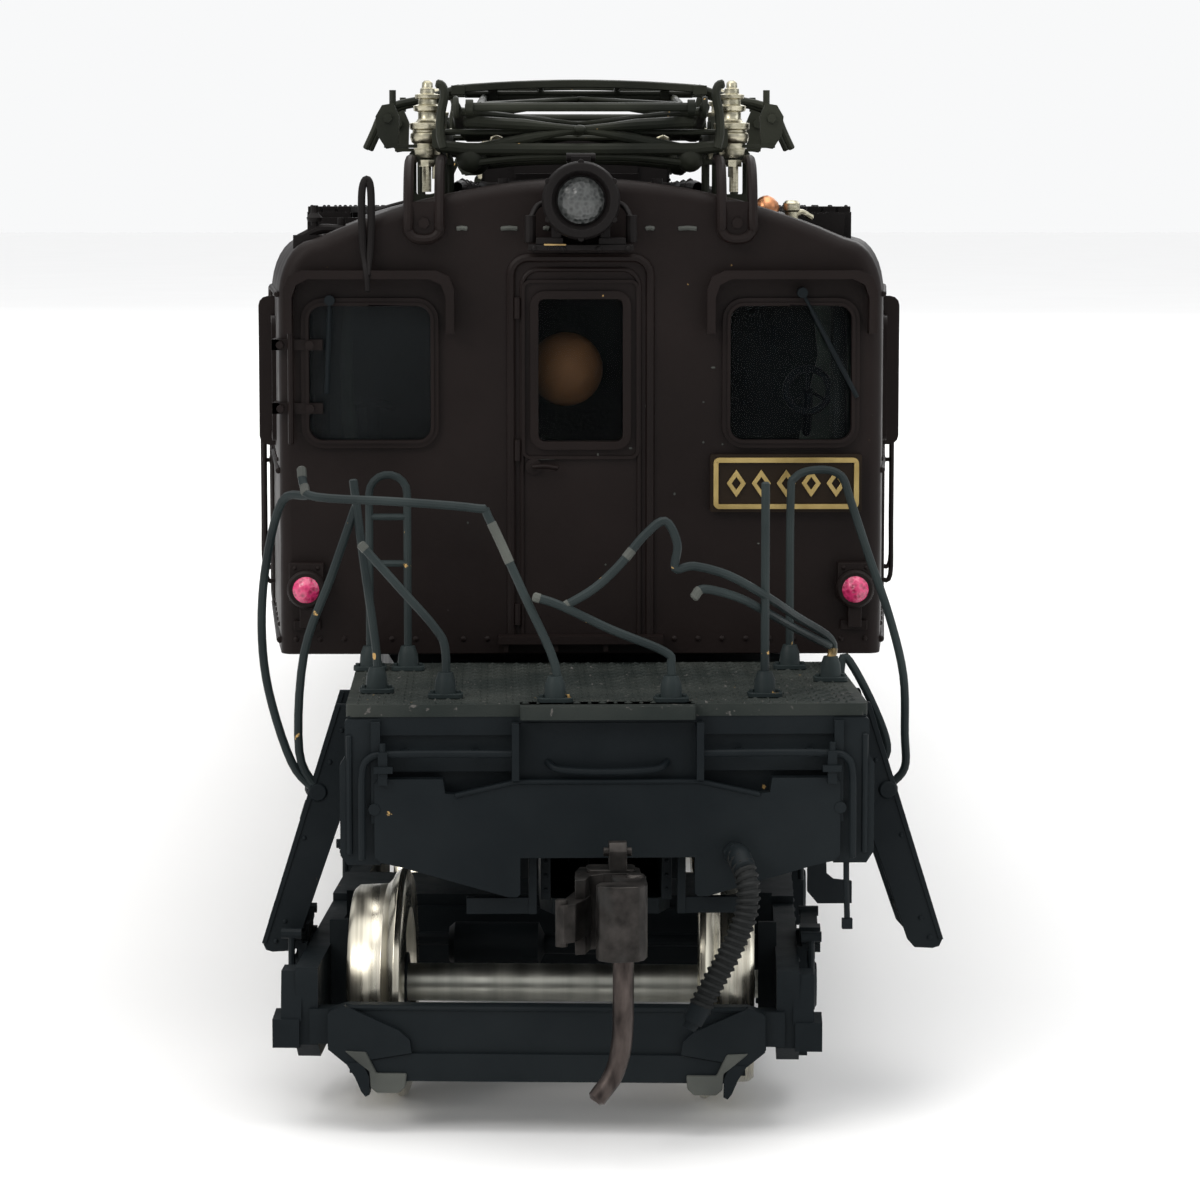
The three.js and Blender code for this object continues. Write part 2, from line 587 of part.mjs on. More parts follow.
// The knocked handrails of the front deck: every list is one run of wire.
const BENT_RAILS = [
  [[-2.5, -115.6, 19.9], [-2.5, -115.6, 21.9], [-4, -115.4, 25.3], [-5.7, -115, 29], [-6.2, -115, 29.4],
    [-10, -114.6, 29.7], [-14, -114, 29.9], [-14.6, -113.5, 30.4], [-14.75, -113, 31.2]],
  [[-14.4, -113.8, 29.95], [-15.7, -112.6, 29.6], [-16.6, -111, 26.5], [-16.9, -110.4, 23.2],
    [-16.6, -110.2, 20], [-15.5, -110.1, 16.4], [-14.3, -110, 14.9]],
  [[-7.8, -113.9, 19.9], [-7.8, -113.9, 22.4], [-8.3, -113.8, 23.5], [-10, -113.4, 25.4],
    [-11.9, -113, 27.5]],
  [[-11.2, -111.8, 19.9], [-11.2, -111.8, 22], [-11.8, -111.6, 26.5], [-12.3, -111.4, 30.5]],
  [[-12.2, -111.4, 29.2], [-13.4, -111.2, 25.8], [-14.8, -110.8, 21.9], [-15.1, -110.4, 17],
    [-14.2, -110, 14.9]],
  [[3.1, -115.6, 19.9], [3.1, -115.6, 21.8], [2.8, -115.6, 22.5], [0.2, -115.7, 23.6], [-2.3, -115.8, 24.8],
    [-3.5, -115.8, 25.2]],
  [[-2, -115.7, 24.75], [-0.6, -115.7, 25.6], [0.6, -115.6, 26.7], [1.8, -115.4, 28.1], [2.8, -115.3, 28.8],
    [3.4, -115.3, 27.7], [3.3, -115.3, 26.5], [4.2, -115.1, 26.6], [5.9, -114.6, 26.1], [7.8, -113.9, 25],
    [9.5, -111, 23.7], [11.5, -108, 22.2], [11.5, -107.9, 21]],
  [[4.2, -115.3, 25.1], [4.7, -115.2, 25.5], [6.4, -114.4, 25], [7.8, -113.4, 24.2], [9.6, -110.5, 23],
    [11.4, -108.1, 21.9]],
  [[7.75, -113.9, 19.9], [7.75, -113.9, 25], [7.75, -113.9, 30.5]],
  [[ARCH_IN, ARCH_Y, 19.9], [ARCH_IN, ARCH_Y, 28.6], [10.1, ARCH_Y, 30], [11.3, -103, 30.4],
    [12.4, -103.2, 30.1], [12.9, -103.4, 28.8], [13.8, -104, 26], [14.8, -104.6, 23], [15.5, -105, 20],
    [15.6, -105, 17], [15.6, -105, 15.2], [14.7, -105, 14.2]],
  [[12.2, -105.4, 19.9], [12.5, -105.3, 21], [13.8, -105.1, 18.8], [14.7, -105, 16.4], [14.3, -104.9, 15.2]],
];

// Where the rails stand on the deck, [x, y].
const BENT_SOCKETS = [
  [-2.5, -115.6], [-7.8, -113.9], [-11.2, -111.8], [3.1, -115.6],
  [7.75, -113.9], [11.5, -107.9], [-ARCH_IN, ARCH_Y], [ARCH_IN, ARCH_Y],
];
const SOUND_SOCKETS = [-1, 1].flatMap((side) => [
  [side * 2.7, -115.6], [side * 7.8, -115.2], [side * 11.9, -114.4], [side * ARCH_IN, ARCH_Y],
]);

// Sound handrails, as the rear deck still has them.
function soundRails(side) {
  const s = (x) => side * x;
  return [
    [[s(2.7), -115.6, 19.9], [s(2.7), -115.6, 27], [s(3), -115.6, 29.8], [s(4.2), -115.5, 30.3],
      [s(10.4), -115, 30.3], [s(12.3), -114.2, 30.2], [s(14.9), -112.4, 29.2], [s(16), -110.8, 26],
      [s(16.2), -110.2, 20], [s(15.6), -110.1, 16.4], [s(14.6), -110, 14.9]],
    [[s(7.8), -115.2, 19.9], [s(7.8), -115.2, 25.4], [s(7.8), -115.2, 30.3]],
    [[s(2.7), -115.6, 25.4], [s(7.8), -115.2, 25.4], [s(11.9), -114.4, 25.4]],
    [[s(11.9), -114.4, 19.9], [s(11.9), -114.4, 25.4], [s(11.9), -114.4, 30.2]],
  ];
}

function grabArch(side) {
  const s = (x) => side * x;
  const y = ARCH_Y;
  return [
    wire([[s(ARCH_IN), y, 19.9], [s(ARCH_IN), y, 28.6], [s(ARCH_IN + 0.3), y, 29.8], [s(10.8), y, 30.25],
      [s(ARCH_OUT - 0.3), y, 29.8], [s(ARCH_OUT), y, 28.6], [s(ARCH_OUT), y, 19.9]]),
    ARCH_RUNGS.map((z) => rod([s(ARCH_IN), y, z], [s(ARCH_OUT), y, z], WIRE, 6)),
  ];
}

function endDeck(rails, arches, sockets) {
  return join(
    deckPlates(), draftBox(), rails.map((points) => wire(points)), arches, railSockets(sockets),
  );
}

function brakeHose() {
  const route = [
    [6.1, -117.6, 12.9], [6.3, -118.6, 12.8], [6.6, -119.3, 11.8], [6.5, -119.5, 10.4],
    [5.8, -119.6, 8.7], [4.9, -119.8, 7.1], [4, -119.9, 5.4],
  ];
  return wire(route, 0.55, 10, 8);
}

// ---- coupler ----
function couplerHead() {
  const shank = plate(
    "z", ...COUPLER_Z,
    [[-1.7, -106.9], [1.7, -106.9], [1.7, -109.5], [0.8, -110.4],
      [0.8, -119.6], [-0.8, -119.6], [-0.8, -110.4], [-1.7, -109.5]],
    [roundHole(0, COUPLER_PIVOT_Y, 0.95)],
  );
  const head = plate("z", ...COUPLER_HEAD_Z, [
    [1.2, -119], [-1.4, -119], [-1.65, -120.2], [-2.1, -122.6], [-2.65, -123.6], [-2.3, -124.1],
    [-1.7, -123.7], [-1.2, -122.4], [-0.9, -121.3], [-0.3, -120.7], [1.2, -120.7],
  ]);
  return join(shank, head);
}

function knuckle() {
  const jaw = plate("z", ...COUPLER_HEAD_Z, [
    [0.05, -121], [1.2, -121], [1.6, -121.6], [1.65, -123.4], [1.3, -124.2], [0.4, -124.45],
    [-0.6, -124.1], [-0.75, -123.4], [-0.3, -123], [0.3, -122.9], [0.05, -122.2],
  ]);
  const pin = wire([[0.55, -122.6, 10], [0.55, -122.6, 7.4], [0.5, -122.5, 5], [0.1, -122.6, 3.4],
    [-0.7, -122.9, 2.3]], 0.45, 7);
  return join(jaw, pin);
}

// ---- headlight, tail lamps, number plate ----
const HEADLIGHT_Z = 44.15;

function headlight() {
  const y0 = -BODY_HALF_LENGTH - GAP;
  const z = HEADLIGHT_Z;
  return join(
    cut(rod([0, y0 - 3.4, z], [0, y0, z], 1.95, 20), rod([0, y0 - 4, z], [0, y0 - 2.3, z], 1.5, 20)),
    box(-0.9, 0.9, y0 - 2.6, y0 - 1.2, z + 1.8, z + 2.5),
    box(-2.6, 2.6, y0 - 2.4, y0, 41.7, 42.7),
  );
}

function headlightLens() {
  return rod([0, -102.6, HEADLIGHT_Z], [0, -102.2, HEADLIGHT_Z], 1.1, 16);
}

const TAIL_LAMP_X = 14.3;
const TAIL_LAMP_Z = 24;

function tailLamp(side) {
  const y0 = -BODY_HALF_LENGTH - GAP;
  const x = side * TAIL_LAMP_X;
  return join(
    rod([x, y0, TAIL_LAMP_Z], [x, y0 - 1.6, TAIL_LAMP_Z], 0.95, 12),
    box(x - 0.45, x + 0.45, y0 - 1.2, y0, TAIL_LAMP_Z - 1.8, TAIL_LAMP_Z - 0.4),
  );
}

function numberPlate() {
  const y0 = -BODY_HALF_LENGTH - GAP;
  return box(6.75, 14.65, y0 - 0.4, y0, 28, 31);
}

// ---- pantograph: base, two lower arms, two upper arms and the head ----
const KNEE = [PAN_OFFSET + PAN_ARM * Math.cos(PAN_FOLDED), PAN_PIVOT + PAN_ARM * Math.sin(PAN_FOLDED)];
const HEAD_PIVOT = PAN_PIVOT + 2 * PAN_ARM * Math.sin(PAN_FOLDED);
const INSULATOR_X = 8.1;
const INSULATOR_Y = 7;

// The bent strap that carries a front insulator from the top edge of the nose.
function stirrup(side) {
  const y = PAN_Y - INSULATOR_Y;
  const [inner, outer] = [side * (INSULATOR_X - 0.95), side * (INSULATOR_X + 0.95)];
  const leg = (x) => [[x, y, 46.3], [x, -97.6, 46.2], [x, -99.4, 45.2], [x, -100.25, 42.9]];
  const foot = [[inner, -100.2, 41.8], [outer, -100.2, 41.8]];
  return wire([...leg(inner), ...foot, ...leg(outer).reverse()], 0.27, 6);
}

function panBase() {
  const pieces = [];
  for (const side of [-1, 1]) {
    const [x0, x1] = [side * 7.15, side * 7.75].sort((a, b) => a - b);
    pieces.push(box(x0, x1, PAN_Y - 10, PAN_Y + 10, 46.9, 47.9));
    for (const end of [-1, 1]) {
      const y = PAN_Y + end * INSULATOR_Y;
      const x = side * INSULATOR_X;
      pieces.push(rod([x, y, 46.4], [x, y, 48.3], 1.05), rod([x, y, 48.2], [x, y, 50], 0.85));
      pieces.push(rod([x, y, 49.9], [x, y, 50.5], 0.35, 6));
      pieces.push(box(x - 1.05, x + 1.05, y - 0.5, y + 0.5, 45, 46.6));
      const pivotY = PAN_Y + end * PAN_OFFSET;
      pieces.push(box(x0, x1, pivotY - 0.5, pivotY + 0.5, 47.5, 48.8));
    }
  }
  const crossbar = (y) => box(-7.6, 7.6, y - 0.4, y + 0.4, 46.9, 47.5);
  return join(pieces, crossbar(PAN_Y - 9.6), crossbar(PAN_Y + 9.6), stirrup(-1), stirrup(1));
}

// end is -1 for the arm towards the nose and +1 for the one towards the middle of the locomotive.
function lowerArm(end) {
  const y0 = PAN_Y + end * PAN_OFFSET;
  const y1 = PAN_Y + end * KNEE[0];
  const x = LOWER_ARM_X;
  return join(
    rod([-6.75, y0, PAN_PIVOT], [6.75, y0, PAN_PIVOT], 0.4, 6),
    [-x, x].map((at) => rod([at, y0, PAN_PIVOT], [at, y1, KNEE[1]], 0.33, 6)),
  );
}

function upperArm(end) {
  const y0 = PAN_Y + end * PAN_OFFSET;
  const y1 = PAN_Y + end * KNEE[0];
  const x = UPPER_ARM_X;
  return join(
    rod([-5.8, y1, KNEE[1]], [5.8, y1, KNEE[1]], 0.3, 6),
    rod([-x, y0, HEAD_PIVOT], [x, y0, HEAD_PIVOT], 0.26, 6),
    [-x, x].map((at) => rod([at, y1, KNEE[1]], [at, y0, HEAD_PIVOT], 0.26, 6)),
  );
}

const STRIP_Y = 2.3;
function panHead() {
  const z = HEAD_PIVOT + 0.55;
  const [outer, inner] = [PAN_Y - STRIP_Y, PAN_Y + STRIP_Y];
  const strips = [outer, inner].map((y) => box(-6.8, 6.8, y - 0.45, y + 0.45, z, z + 0.4));
  const ties = [-6.4, -3, 3, 6.4].map((x) => box(x - 0.3, x + 0.3, outer, inner, z, z + 0.3));
  const horns = [-1, 1].flatMap((side) =>
    [outer, inner].map((y) =>
      wire([[side * 6.5, y, z + 0.15], [side * 8.2, y, 49.7], [side * 9.9, y, 49.35], [side * 10.7, y, 48.8],
        [side * 11.6, y, 47]], 0.24, 5),
    ),
  );
  return join(strips, ties, horns);
}

// ---- assembly: the rear end is the front end turned half round ----
for (const end of ["front", "rear"]) {
  const half = new THREE.Group();
  half.rotation.z = end === "front" ? 0 : Math.PI;
  onRails.add(half);
  const name = (piece) => `${end}_${piece}`;

  const cabGlassY = -BODY_HALF_LENGTH + WALL + GAP;
  add(half, name("cab_glazing"), box(-14.4, 14.4, cabGlassY, cabGlassY + GLASS, 30.6, 39.8), "glass");
  add(half, name("headlight"), headlight(), "body");
  add(half, name("headlight_lens"), headlightLens(), "glass");
  add(half, name("tail_lamp_left"), tailLamp(-1), "lens");
  add(half, name("tail_lamp_right"), tailLamp(1), "lens");
  add(half, name("number_plate"), numberPlate(), "plate");

  add(half, name("pantograph_base"), cut(panBase(), bodyForm(-GAP, SILL)), "frame");
  add(half, name("pantograph_lower_outer"), lowerArm(-1), "frame");
  add(half, name("pantograph_lower_inner"), lowerArm(1), "frame");
  add(half, name("pantograph_upper_outer"), upperArm(-1), "frame");
  add(half, name("pantograph_upper_inner"), upperArm(1), "frame");
  add(half, name("pantograph_head"), panHead(), "frame");

  const bogie = pivoted(half, BOGIE_PIVOT_Y, BOGIE_SWING);
  add(bogie, name("bogie_frame"), bogieFrame(), "frame");
  add(bogie, name("motor_can"), motorCan(), "steel");
  add(bogie, name("motor_armature"), armature(), "brass");
  add(bogie, name("worm_shaft"), wormShaft(), "brass");
  DRIVER_Y.forEach((y, i) => {
    const wheels = wheelset(DRIVER_R, 16, WORM_WHEEL_R).translate(0, y, DRIVER_R);
    add(bogie, name(`driving_wheelset_${i + 1}`), wheels, "steel");
  });

  const bent = end === "front";
  const sound = [-1, 1].flatMap((side) => soundRails(side));
  const arches = bent ? grabArch(-1) : [grabArch(-1), grabArch(1)];
  const sockets = bent ? BENT_SOCKETS : SOUND_SOCKETS;
  add(bogie, name("end_deck"), endDeck(bent ? BENT_RAILS : sound, arches, sockets), "frame");
  add(bogie, name("brake_hose"), brakeHose(), "rubber");
  add(bogie, name("coupler"), couplerHead(), "brass");
  add(bogie, name("coupler_knuckle"), knuckle(), "brass");

  const truck = pivoted(bogie, TRUCK_PIVOT_Y, TRUCK_SWING);
  add(truck, name("truck_frame"), truckFrame(), "frame");
  LEADER_Y.forEach((y, i) => {
    const wheels = wheelset(LEADER_R, 12).translate(0, y, LEADER_R);
    add(truck, name(`leading_wheelset_${i + 1}`), wheels, "steel");
  });
}

export default locomotive;
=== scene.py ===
import json
import math

import bpy
from mathutils import Matrix, Vector
from mathutils.geometry import tessellate_polygon


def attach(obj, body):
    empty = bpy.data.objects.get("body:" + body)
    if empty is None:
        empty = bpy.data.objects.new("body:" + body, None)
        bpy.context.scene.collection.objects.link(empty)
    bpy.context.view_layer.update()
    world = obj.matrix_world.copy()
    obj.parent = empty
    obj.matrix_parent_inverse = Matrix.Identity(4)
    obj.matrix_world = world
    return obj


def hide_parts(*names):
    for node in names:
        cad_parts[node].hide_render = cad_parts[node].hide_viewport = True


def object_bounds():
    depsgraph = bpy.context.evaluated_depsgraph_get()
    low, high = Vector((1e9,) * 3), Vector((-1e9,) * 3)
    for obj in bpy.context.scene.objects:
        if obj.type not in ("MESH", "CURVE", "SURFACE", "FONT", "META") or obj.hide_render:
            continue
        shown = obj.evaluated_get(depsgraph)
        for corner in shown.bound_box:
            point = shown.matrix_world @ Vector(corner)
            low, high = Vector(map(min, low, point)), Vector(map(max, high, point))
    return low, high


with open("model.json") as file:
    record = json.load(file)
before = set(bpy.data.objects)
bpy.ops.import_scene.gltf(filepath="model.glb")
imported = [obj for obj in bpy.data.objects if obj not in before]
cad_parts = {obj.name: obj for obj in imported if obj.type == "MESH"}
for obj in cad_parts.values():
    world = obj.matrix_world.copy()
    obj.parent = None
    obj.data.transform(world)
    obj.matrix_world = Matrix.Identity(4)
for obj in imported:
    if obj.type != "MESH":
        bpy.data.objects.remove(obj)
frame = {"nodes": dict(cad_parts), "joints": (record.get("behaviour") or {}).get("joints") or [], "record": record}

cad_low, cad_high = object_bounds()

# ---------------------------------------------------------------------------------------------
# Places, all from the frame. Pieces are drawn in millimetres over the rail top, as the front
# end's own frame has them, and a matrix takes them to the row frame in metres.
# ---------------------------------------------------------------------------------------------
MM = 0.001
AXIS = 0.0001  # a turned profile's radius where it meets its axis
JOINTS = {j["name"]: j for j in frame["joints"]}
MOUNTS = {m["name"]: m for m in frame["record"]["mounts"]}
RAIL = MOUNTS["front_rail_left"]["pos_m"][2] / MM  # the rail top over the ground


def joint_mm(name):
    x, y, z = (c / MM for c in JOINTS[name]["pos_m"])
    return Vector((x, y, z - RAIL))


def turn_of(name):
    """How far an axle stands turned about the upright axis, in radians."""
    x, y, _ = JOINTS[name]["axis"]
    return math.atan2(y, x)


BOGIE_PIVOT = joint_mm("front_bogie_swivel").y
BOGIE_TURN = turn_of("front_driving_axle_1_spin")
TRUCK_TURN = turn_of("front_leading_axle_1_spin") - BOGIE_TURN


def about_upright(y, angle):
    return Matrix.Translation((0, y, 0)) @ Matrix.Rotation(angle, 4, "Z") @ Matrix.Translation((0, -y, 0))


def level_matrix(level):
    """From a level's own millimetres to the front end's: the body, the bogie or the leading truck."""
    if level == "body":
        return Matrix.Identity(4)
    bogie = about_upright(BOGIE_PIVOT, BOGIE_TURN)
    if level == "bogie":
        return bogie
    pivot = bogie.inverted() @ joint_mm("front_truck_swing")
    return bogie @ about_upright(pivot.y, TRUCK_TURN)


def place(level, end="front"):
    """The matrix from a level's own millimetres to the row frame in metres."""
    half_turn = Matrix.Rotation(math.pi, 4, "Z") if end == "rear" else Matrix.Identity(4)
    lift = Matrix.Translation((0, 0, RAIL))
    return Matrix.Scale(MM, 4) @ lift @ half_turn @ level_matrix(level)


def own_box(node, level="body"):
    """Lowest and highest corner of a front CAD node, in its level's own millimetres."""
    back = place(level).inverted()
    corners = [back @ v.co for v in frame["nodes"][node].data.vertices]
    low = Vector([min(c[i] for c in corners) for i in range(3)])
    high = Vector([max(c[i] for c in corners) for i in range(3)])
    return low, high


# ---------------------------------------------------------------------------------------------
# Drawing
# ---------------------------------------------------------------------------------------------
def smooth_path(points, per=5, closed=False):
    """Catmull-Rom points through the given ones."""
    pts = [Vector(p) for p in points]
    n = len(pts)
    spans = n if closed else n - 1
    out = []
    for i in range(spans):
        if closed:
            p0, p1, p2, p3 = (pts[(i + k) % n] for k in (-1, 0, 1, 2))
        else:
            p1, p2 = pts[i], pts[i + 1]
            p0 = pts[i - 1] if i else p1 * 2 - p2
            p3 = pts[i + 2] if i + 2 < n else p2 * 2 - p1
        for k in range(per):
            t = k / per
            a = p1 * 2 + (p2 - p0) * t
            b = (p0 * 2 - p1 * 5 + p2 * 4 - p3) * t * t
            c = (p1 * 3 - p0 - p2 * 3 + p3) * t * t * t
            out.append((a + b + c) / 2)
    if not closed:
        out.append(pts[-1])
    return out


def rounded(u0, u1, v0, v1, r, steps=5):
    """The outline of a rectangle with round corners."""
    out = []
    corners = ((u1 - r, v0 + r, -90), (u1 - r, v1 - r, 0), (u0 + r, v1 - r, 90), (u0 + r, v0 + r, 180))
    for u, v, start in corners:
        for k in range(steps + 1):
            a = math.radians(start + 90 * k / steps)
            out.append((u + r * math.cos(a), v + r * math.sin(a)))
    return out


def circle(u, v, r, steps=20):
    return [
        (u + r * math.cos(2 * math.pi * k / steps), v + r * math.sin(2 * math.pi * k / steps))
        for k in range(steps)
    ]


def mirrored(points):
    """The other half of an outline, taken back the way it came."""
    return [(-p[0], *p[1:]) for p in reversed(points)]


def on_side(points, side):
    """Points of the right-hand side, or their twins on the left when side is -1."""
    return [(side * p[0], *p[1:]) for p in points]


class Form:
    """Faces gathered in millimetres; ink picks the material that the next ones get."""

    def __init__(self):
        self.verts = []
        self.faces = []
        self.inks = []
        self.ink = 0

    def put(self, verts, faces):
        base = len(self.verts)
        self.verts += [Vector(v) for v in verts]
        self.faces += [[base + i for i in f] for f in faces]
        self.inks += [self.ink] * len(faces)
        return self

    def box(self, x0, x1, y0, y1, z0, z1):
        x0, x1 = sorted((x0, x1))
        y0, y1 = sorted((y0, y1))
        z0, z1 = sorted((z0, z1))
        v = [(x, y, z) for z in (z0, z1) for y in (y0, y1) for x in (x0, x1)]
        f = [(0, 2, 3, 1), (4, 5, 7, 6), (0, 1, 5, 4), (2, 6, 7, 3), (0, 4, 6, 2), (1, 3, 7, 5)]
        return self.put(v, f)

    def rings(self, rings, closed=False, caps=True):
        """A skin through rings of equal length."""
        n = len(rings[0])
        verts = [p for ring in rings for p in ring]
        faces = []
        spans = len(rings) if closed else len(rings) - 1
        for k in range(spans):
            a, b = k * n, ((k + 1) % len(rings)) * n
            for i in range(n):
                j = (i + 1) % n
                faces.append((a + i, a + j, b + j, b + i))
        if caps and not closed:
            faces.append(tuple(range(n - 1, -1, -1)))
            last = (len(rings) - 1) * n
            faces.append(tuple(range(last, last + n)))
        return self.put(verts, faces)

    def tube(self, points, r, sides=10, per=5, closed=False, round_ends=True, smooth=True):
        """A round bar along a path; r is a radius, or one for each path point."""
        path = smooth_path(points, per, closed) if smooth else [Vector(p) for p in points]
        count = len(path)
        radii = list(r) if isinstance(r, (list, tuple)) else [r] * count
        if len(radii) != count:
            radii = [radii[min(int(k * len(radii) / count), len(radii) - 1)] for k in range(count)]
        tangents = []
        for k in range(count):
            if closed:
                d = path[(k + 1) % count] - path[k - 1]
            else:
                d = path[min(k + 1, count - 1)] - path[max(k - 1, 0)]
            tangents.append(d.normalized())
        normal = tangents[0].orthogonal().normalized()
        rings = []
        for k in range(count):
            if k:
                normal = (normal - tangents[k] * normal.dot(tangents[k])).normalized()
            side = tangents[k].cross(normal)
            angles = [2 * math.pi * i / sides for i in range(sides)]
            rings.append([path[k] + (normal * math.cos(a) + side * math.sin(a)) * radii[k] for a in angles])
        if round_ends and not closed:
            first = [path[0] + (p - path[0]) * 0.6 - tangents[0] * radii[0] * 0.35 for p in rings[0]]
            last = [path[-1] + (p - path[-1]) * 0.6 + tangents[-1] * radii[-1] * 0.35 for p in rings[-1]]
            rings = [first, *rings, last]
        return self.rings(rings, closed)

    def rod(self, a, b, r, r_end=None, sides=16):
        return self.tube([a, b], [r, r if r_end is None else r_end], sides, smooth=False, round_ends=False)

    def turned(self, profile, origin=(0, 0, 0), axis="x", sides=32, closed=False):
        """A turned piece from (along, radius) points; closed makes it a ring of that section."""
        o = Vector(origin)
        unit = {"x": (Vector((1, 0, 0)), Vector((0, 1, 0)), Vector((0, 0, 1))),
                "y": (Vector((0, 1, 0)), Vector((0, 0, 1)), Vector((1, 0, 0))),
                "z": (Vector((0, 0, 1)), Vector((1, 0, 0)), Vector((0, 1, 0)))}[axis]
        rings = []
        for along, r in profile:
            r = max(r, AXIS)
            rings.append([o + unit[0] * along + (unit[1] * math.cos(a) + unit[2] * math.sin(a)) * r
                          for a in (2 * math.pi * i / sides for i in range(sides))])
        return self.rings(rings, closed)

    def plate(self, axis, lo, hi, outline, holes=()):
        """A flat plate across an axis, from an outline of (u, v) points with holes."""
        def point(u, v, w):
            return {"x": (w, u, v), "y": (u, w, v), "z": (u, v, w)}[axis]
        loops = [outline, *holes]
        verts, faces = [], []
        starts = []
        for loop in loops:
            starts.append(len(verts))
            verts += [point(u, v, lo) for u, v in loop] + [point(u, v, hi) for u, v in loop]
            n = len(loop)
            s = starts[-1]
            faces += [(s + i, s + (i + 1) % n, s + n + (i + 1) % n, s + n + i) for i in range(n)]
        flat = [[Vector((u, v, 0)) for u, v in loop] for loop in loops]
        index = []
        for loop, s in zip(loops, starts):
            index += [(s + i, s + len(loop) + i) for i in range(len(loop))]
        for tri in tessellate_polygon(flat):
            faces.append(tuple(index[i][0] for i in tri))
            faces.append(tuple(index[i][1] for i in reversed(tri)))
        return self.put(verts, faces)

    def side_plate(self, side, x0, x1, outline, holes=()):
        """A plate that stands along one side, from x0 to x1 out of the middle."""
        return self.plate("x", *sorted((side * x0, side * x1)), outline, holes)

    def ball(self, centre, r, squash=1.0, sides=16, rows=8):
        c = Vector(centre)
        rings = []
        for k in range(rows + 1):
            a = math.pi * k / rows
            ring_r = max(r * math.sin(a), AXIS)
            z = -r * squash * math.cos(a)
            rings.append([c + Vector((ring_r * math.cos(b), ring_r * math.sin(b), z))
                          for b in (2 * math.pi * i / sides for i in range(sides))])
        return self.rings(rings)

    def stamp(self, other, matrix):
        """Adds another form's faces, moved by a matrix."""
        base = len(self.verts)
        self.verts += [matrix @ v for v in other.verts]
        self.faces += [[base + i for i in f] for f in other.faces]
        self.inks += other.inks
        return self


def make(
    name, form, materials, body, matrix, replaces=(), bevel=0.05, angle=32, cutters=(), segments=2,
):
    """Turns a form into a Blender piece in the row frame that rides on a CAD body."""
    if not isinstance(materials, (list, tuple)):
        materials = [materials]
    mesh = bpy.data.meshes.new(name)
    mesh.from_pydata([tuple(matrix @ v) for v in form.verts], [], form.faces)
    for m in materials:
        mesh.materials.append(m)
    mesh.polygons.foreach_set("material_index", form.inks)
    obj = bpy.data.objects.new(name, mesh)
    bpy.context.scene.collection.objects.link(obj)
    weld(obj)
    for cutter in cutters:
        cut(obj, cutter, matrix)
    mesh = obj.data
    mesh.polygons.foreach_set("use_smooth", [True] * len(mesh.polygons))
    mesh.set_sharp_from_angle(angle=math.radians(angle))
    if bevel:
        m = obj.modifiers.new("Edges", "BEVEL")
        m.width = bevel * MM
        m.segments = segments
        m.limit_method = "ANGLE"
        m.angle_limit = math.radians(angle)
        m.harden_normals = True
    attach(obj, body)
    if replaces:
        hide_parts(*replaces)
    return obj


def weld(obj):
    """Merges doubled points and turns every face outwards."""
    import bmesh
    bm = bmesh.new()
    bm.from_mesh(obj.data)
    bmesh.ops.remove_doubles(bm, verts=bm.verts, dist=1e-7)
    bmesh.ops.dissolve_degenerate(bm, edges=bm.edges, dist=1e-8)
    bmesh.ops.recalc_face_normals(bm, faces=bm.faces)
    bm.to_mesh(obj.data)
    bm.free()


def cut(obj, form, matrix):
    """Cuts a form out of a piece for good."""
    mesh = bpy.data.meshes.new("cutter")
    mesh.from_pydata([tuple(matrix @ v) for v in form.verts], [], form.faces)
    tool = bpy.data.objects.new("cutter", mesh)
    bpy.context.scene.collection.objects.link(tool)
    weld(tool)
    m = obj.modifiers.new("Cut", "BOOLEAN")
    m.operation = "DIFFERENCE"
    m.object = tool
    m.solver = "EXACT"
    depsgraph = bpy.context.evaluated_depsgraph_get()
    result = bpy.data.meshes.new_from_object(obj.evaluated_get(depsgraph))
    obj.modifiers.clear()
    obj.data = result
    bpy.data.objects.remove(tool)


# ---------------------------------------------------------------------------------------------
# Camera, light and floor
# ---------------------------------------------------------------------------------------------
CAMERA_BEFORE = 0.172  # in front of the object's foremost point
CAMERA_HEIGHT = 0.0447
CAMERA_SIDE = -0.0015
CAMERA_PITCH = math.radians(5.96)
CAMERA_YAW = math.radians(0.73)
LENS = 113.4

camera_data = bpy.data.cameras.new("camera")
camera_data.lens = LENS
camera = bpy.data.objects.new("camera", camera_data)
camera.location = (CAMERA_SIDE, cad_low.y - CAMERA_BEFORE, CAMERA_HEIGHT)
camera.rotation_euler = (math.pi / 2 - CAMERA_PITCH, 0, -CAMERA_YAW)
camera_data.clip_start = 0.01
bpy.context.scene.collection.objects.link(camera)
bpy.context.scene.camera = camera
bpy.context.scene.view_settings.view_transform = "Standard"


def lamp(name, at, size, watts, color):
    data = bpy.data.lights.new(name, "AREA")
    data.shape = "RECTANGLE"
    data.size, data.size_y = size
    data.energy = watts
    data.color = color
    obj = bpy.data.objects.new(name, data)
    obj.location = at
    obj.rotation_euler = Vector(at).to_track_quat("Z", "Y").to_euler()
    bpy.context.scene.collection.objects.link(obj)


lamp("overhead", (0.0, -0.1, 0.9), (0.9, 0.9), 4, (1.0, 0.98, 0.95))
lamp("key", (-0.75, -0.8, 0.65), (0.5, 0.4), 4, (1.0, 0.97, 0.93))
lamp("fill", (0.9, -0.45, 0.4), (0.5, 0.5), 1.2, (0.93, 0.97, 1.0))
lamp("back", (0.2, 0.95, 0.6), (0.9, 0.5), 3, (1.0, 1.0, 1.0))


def link(tree, a, out, b, into):
    tree.links.new(a.outputs[out], b.inputs[into])


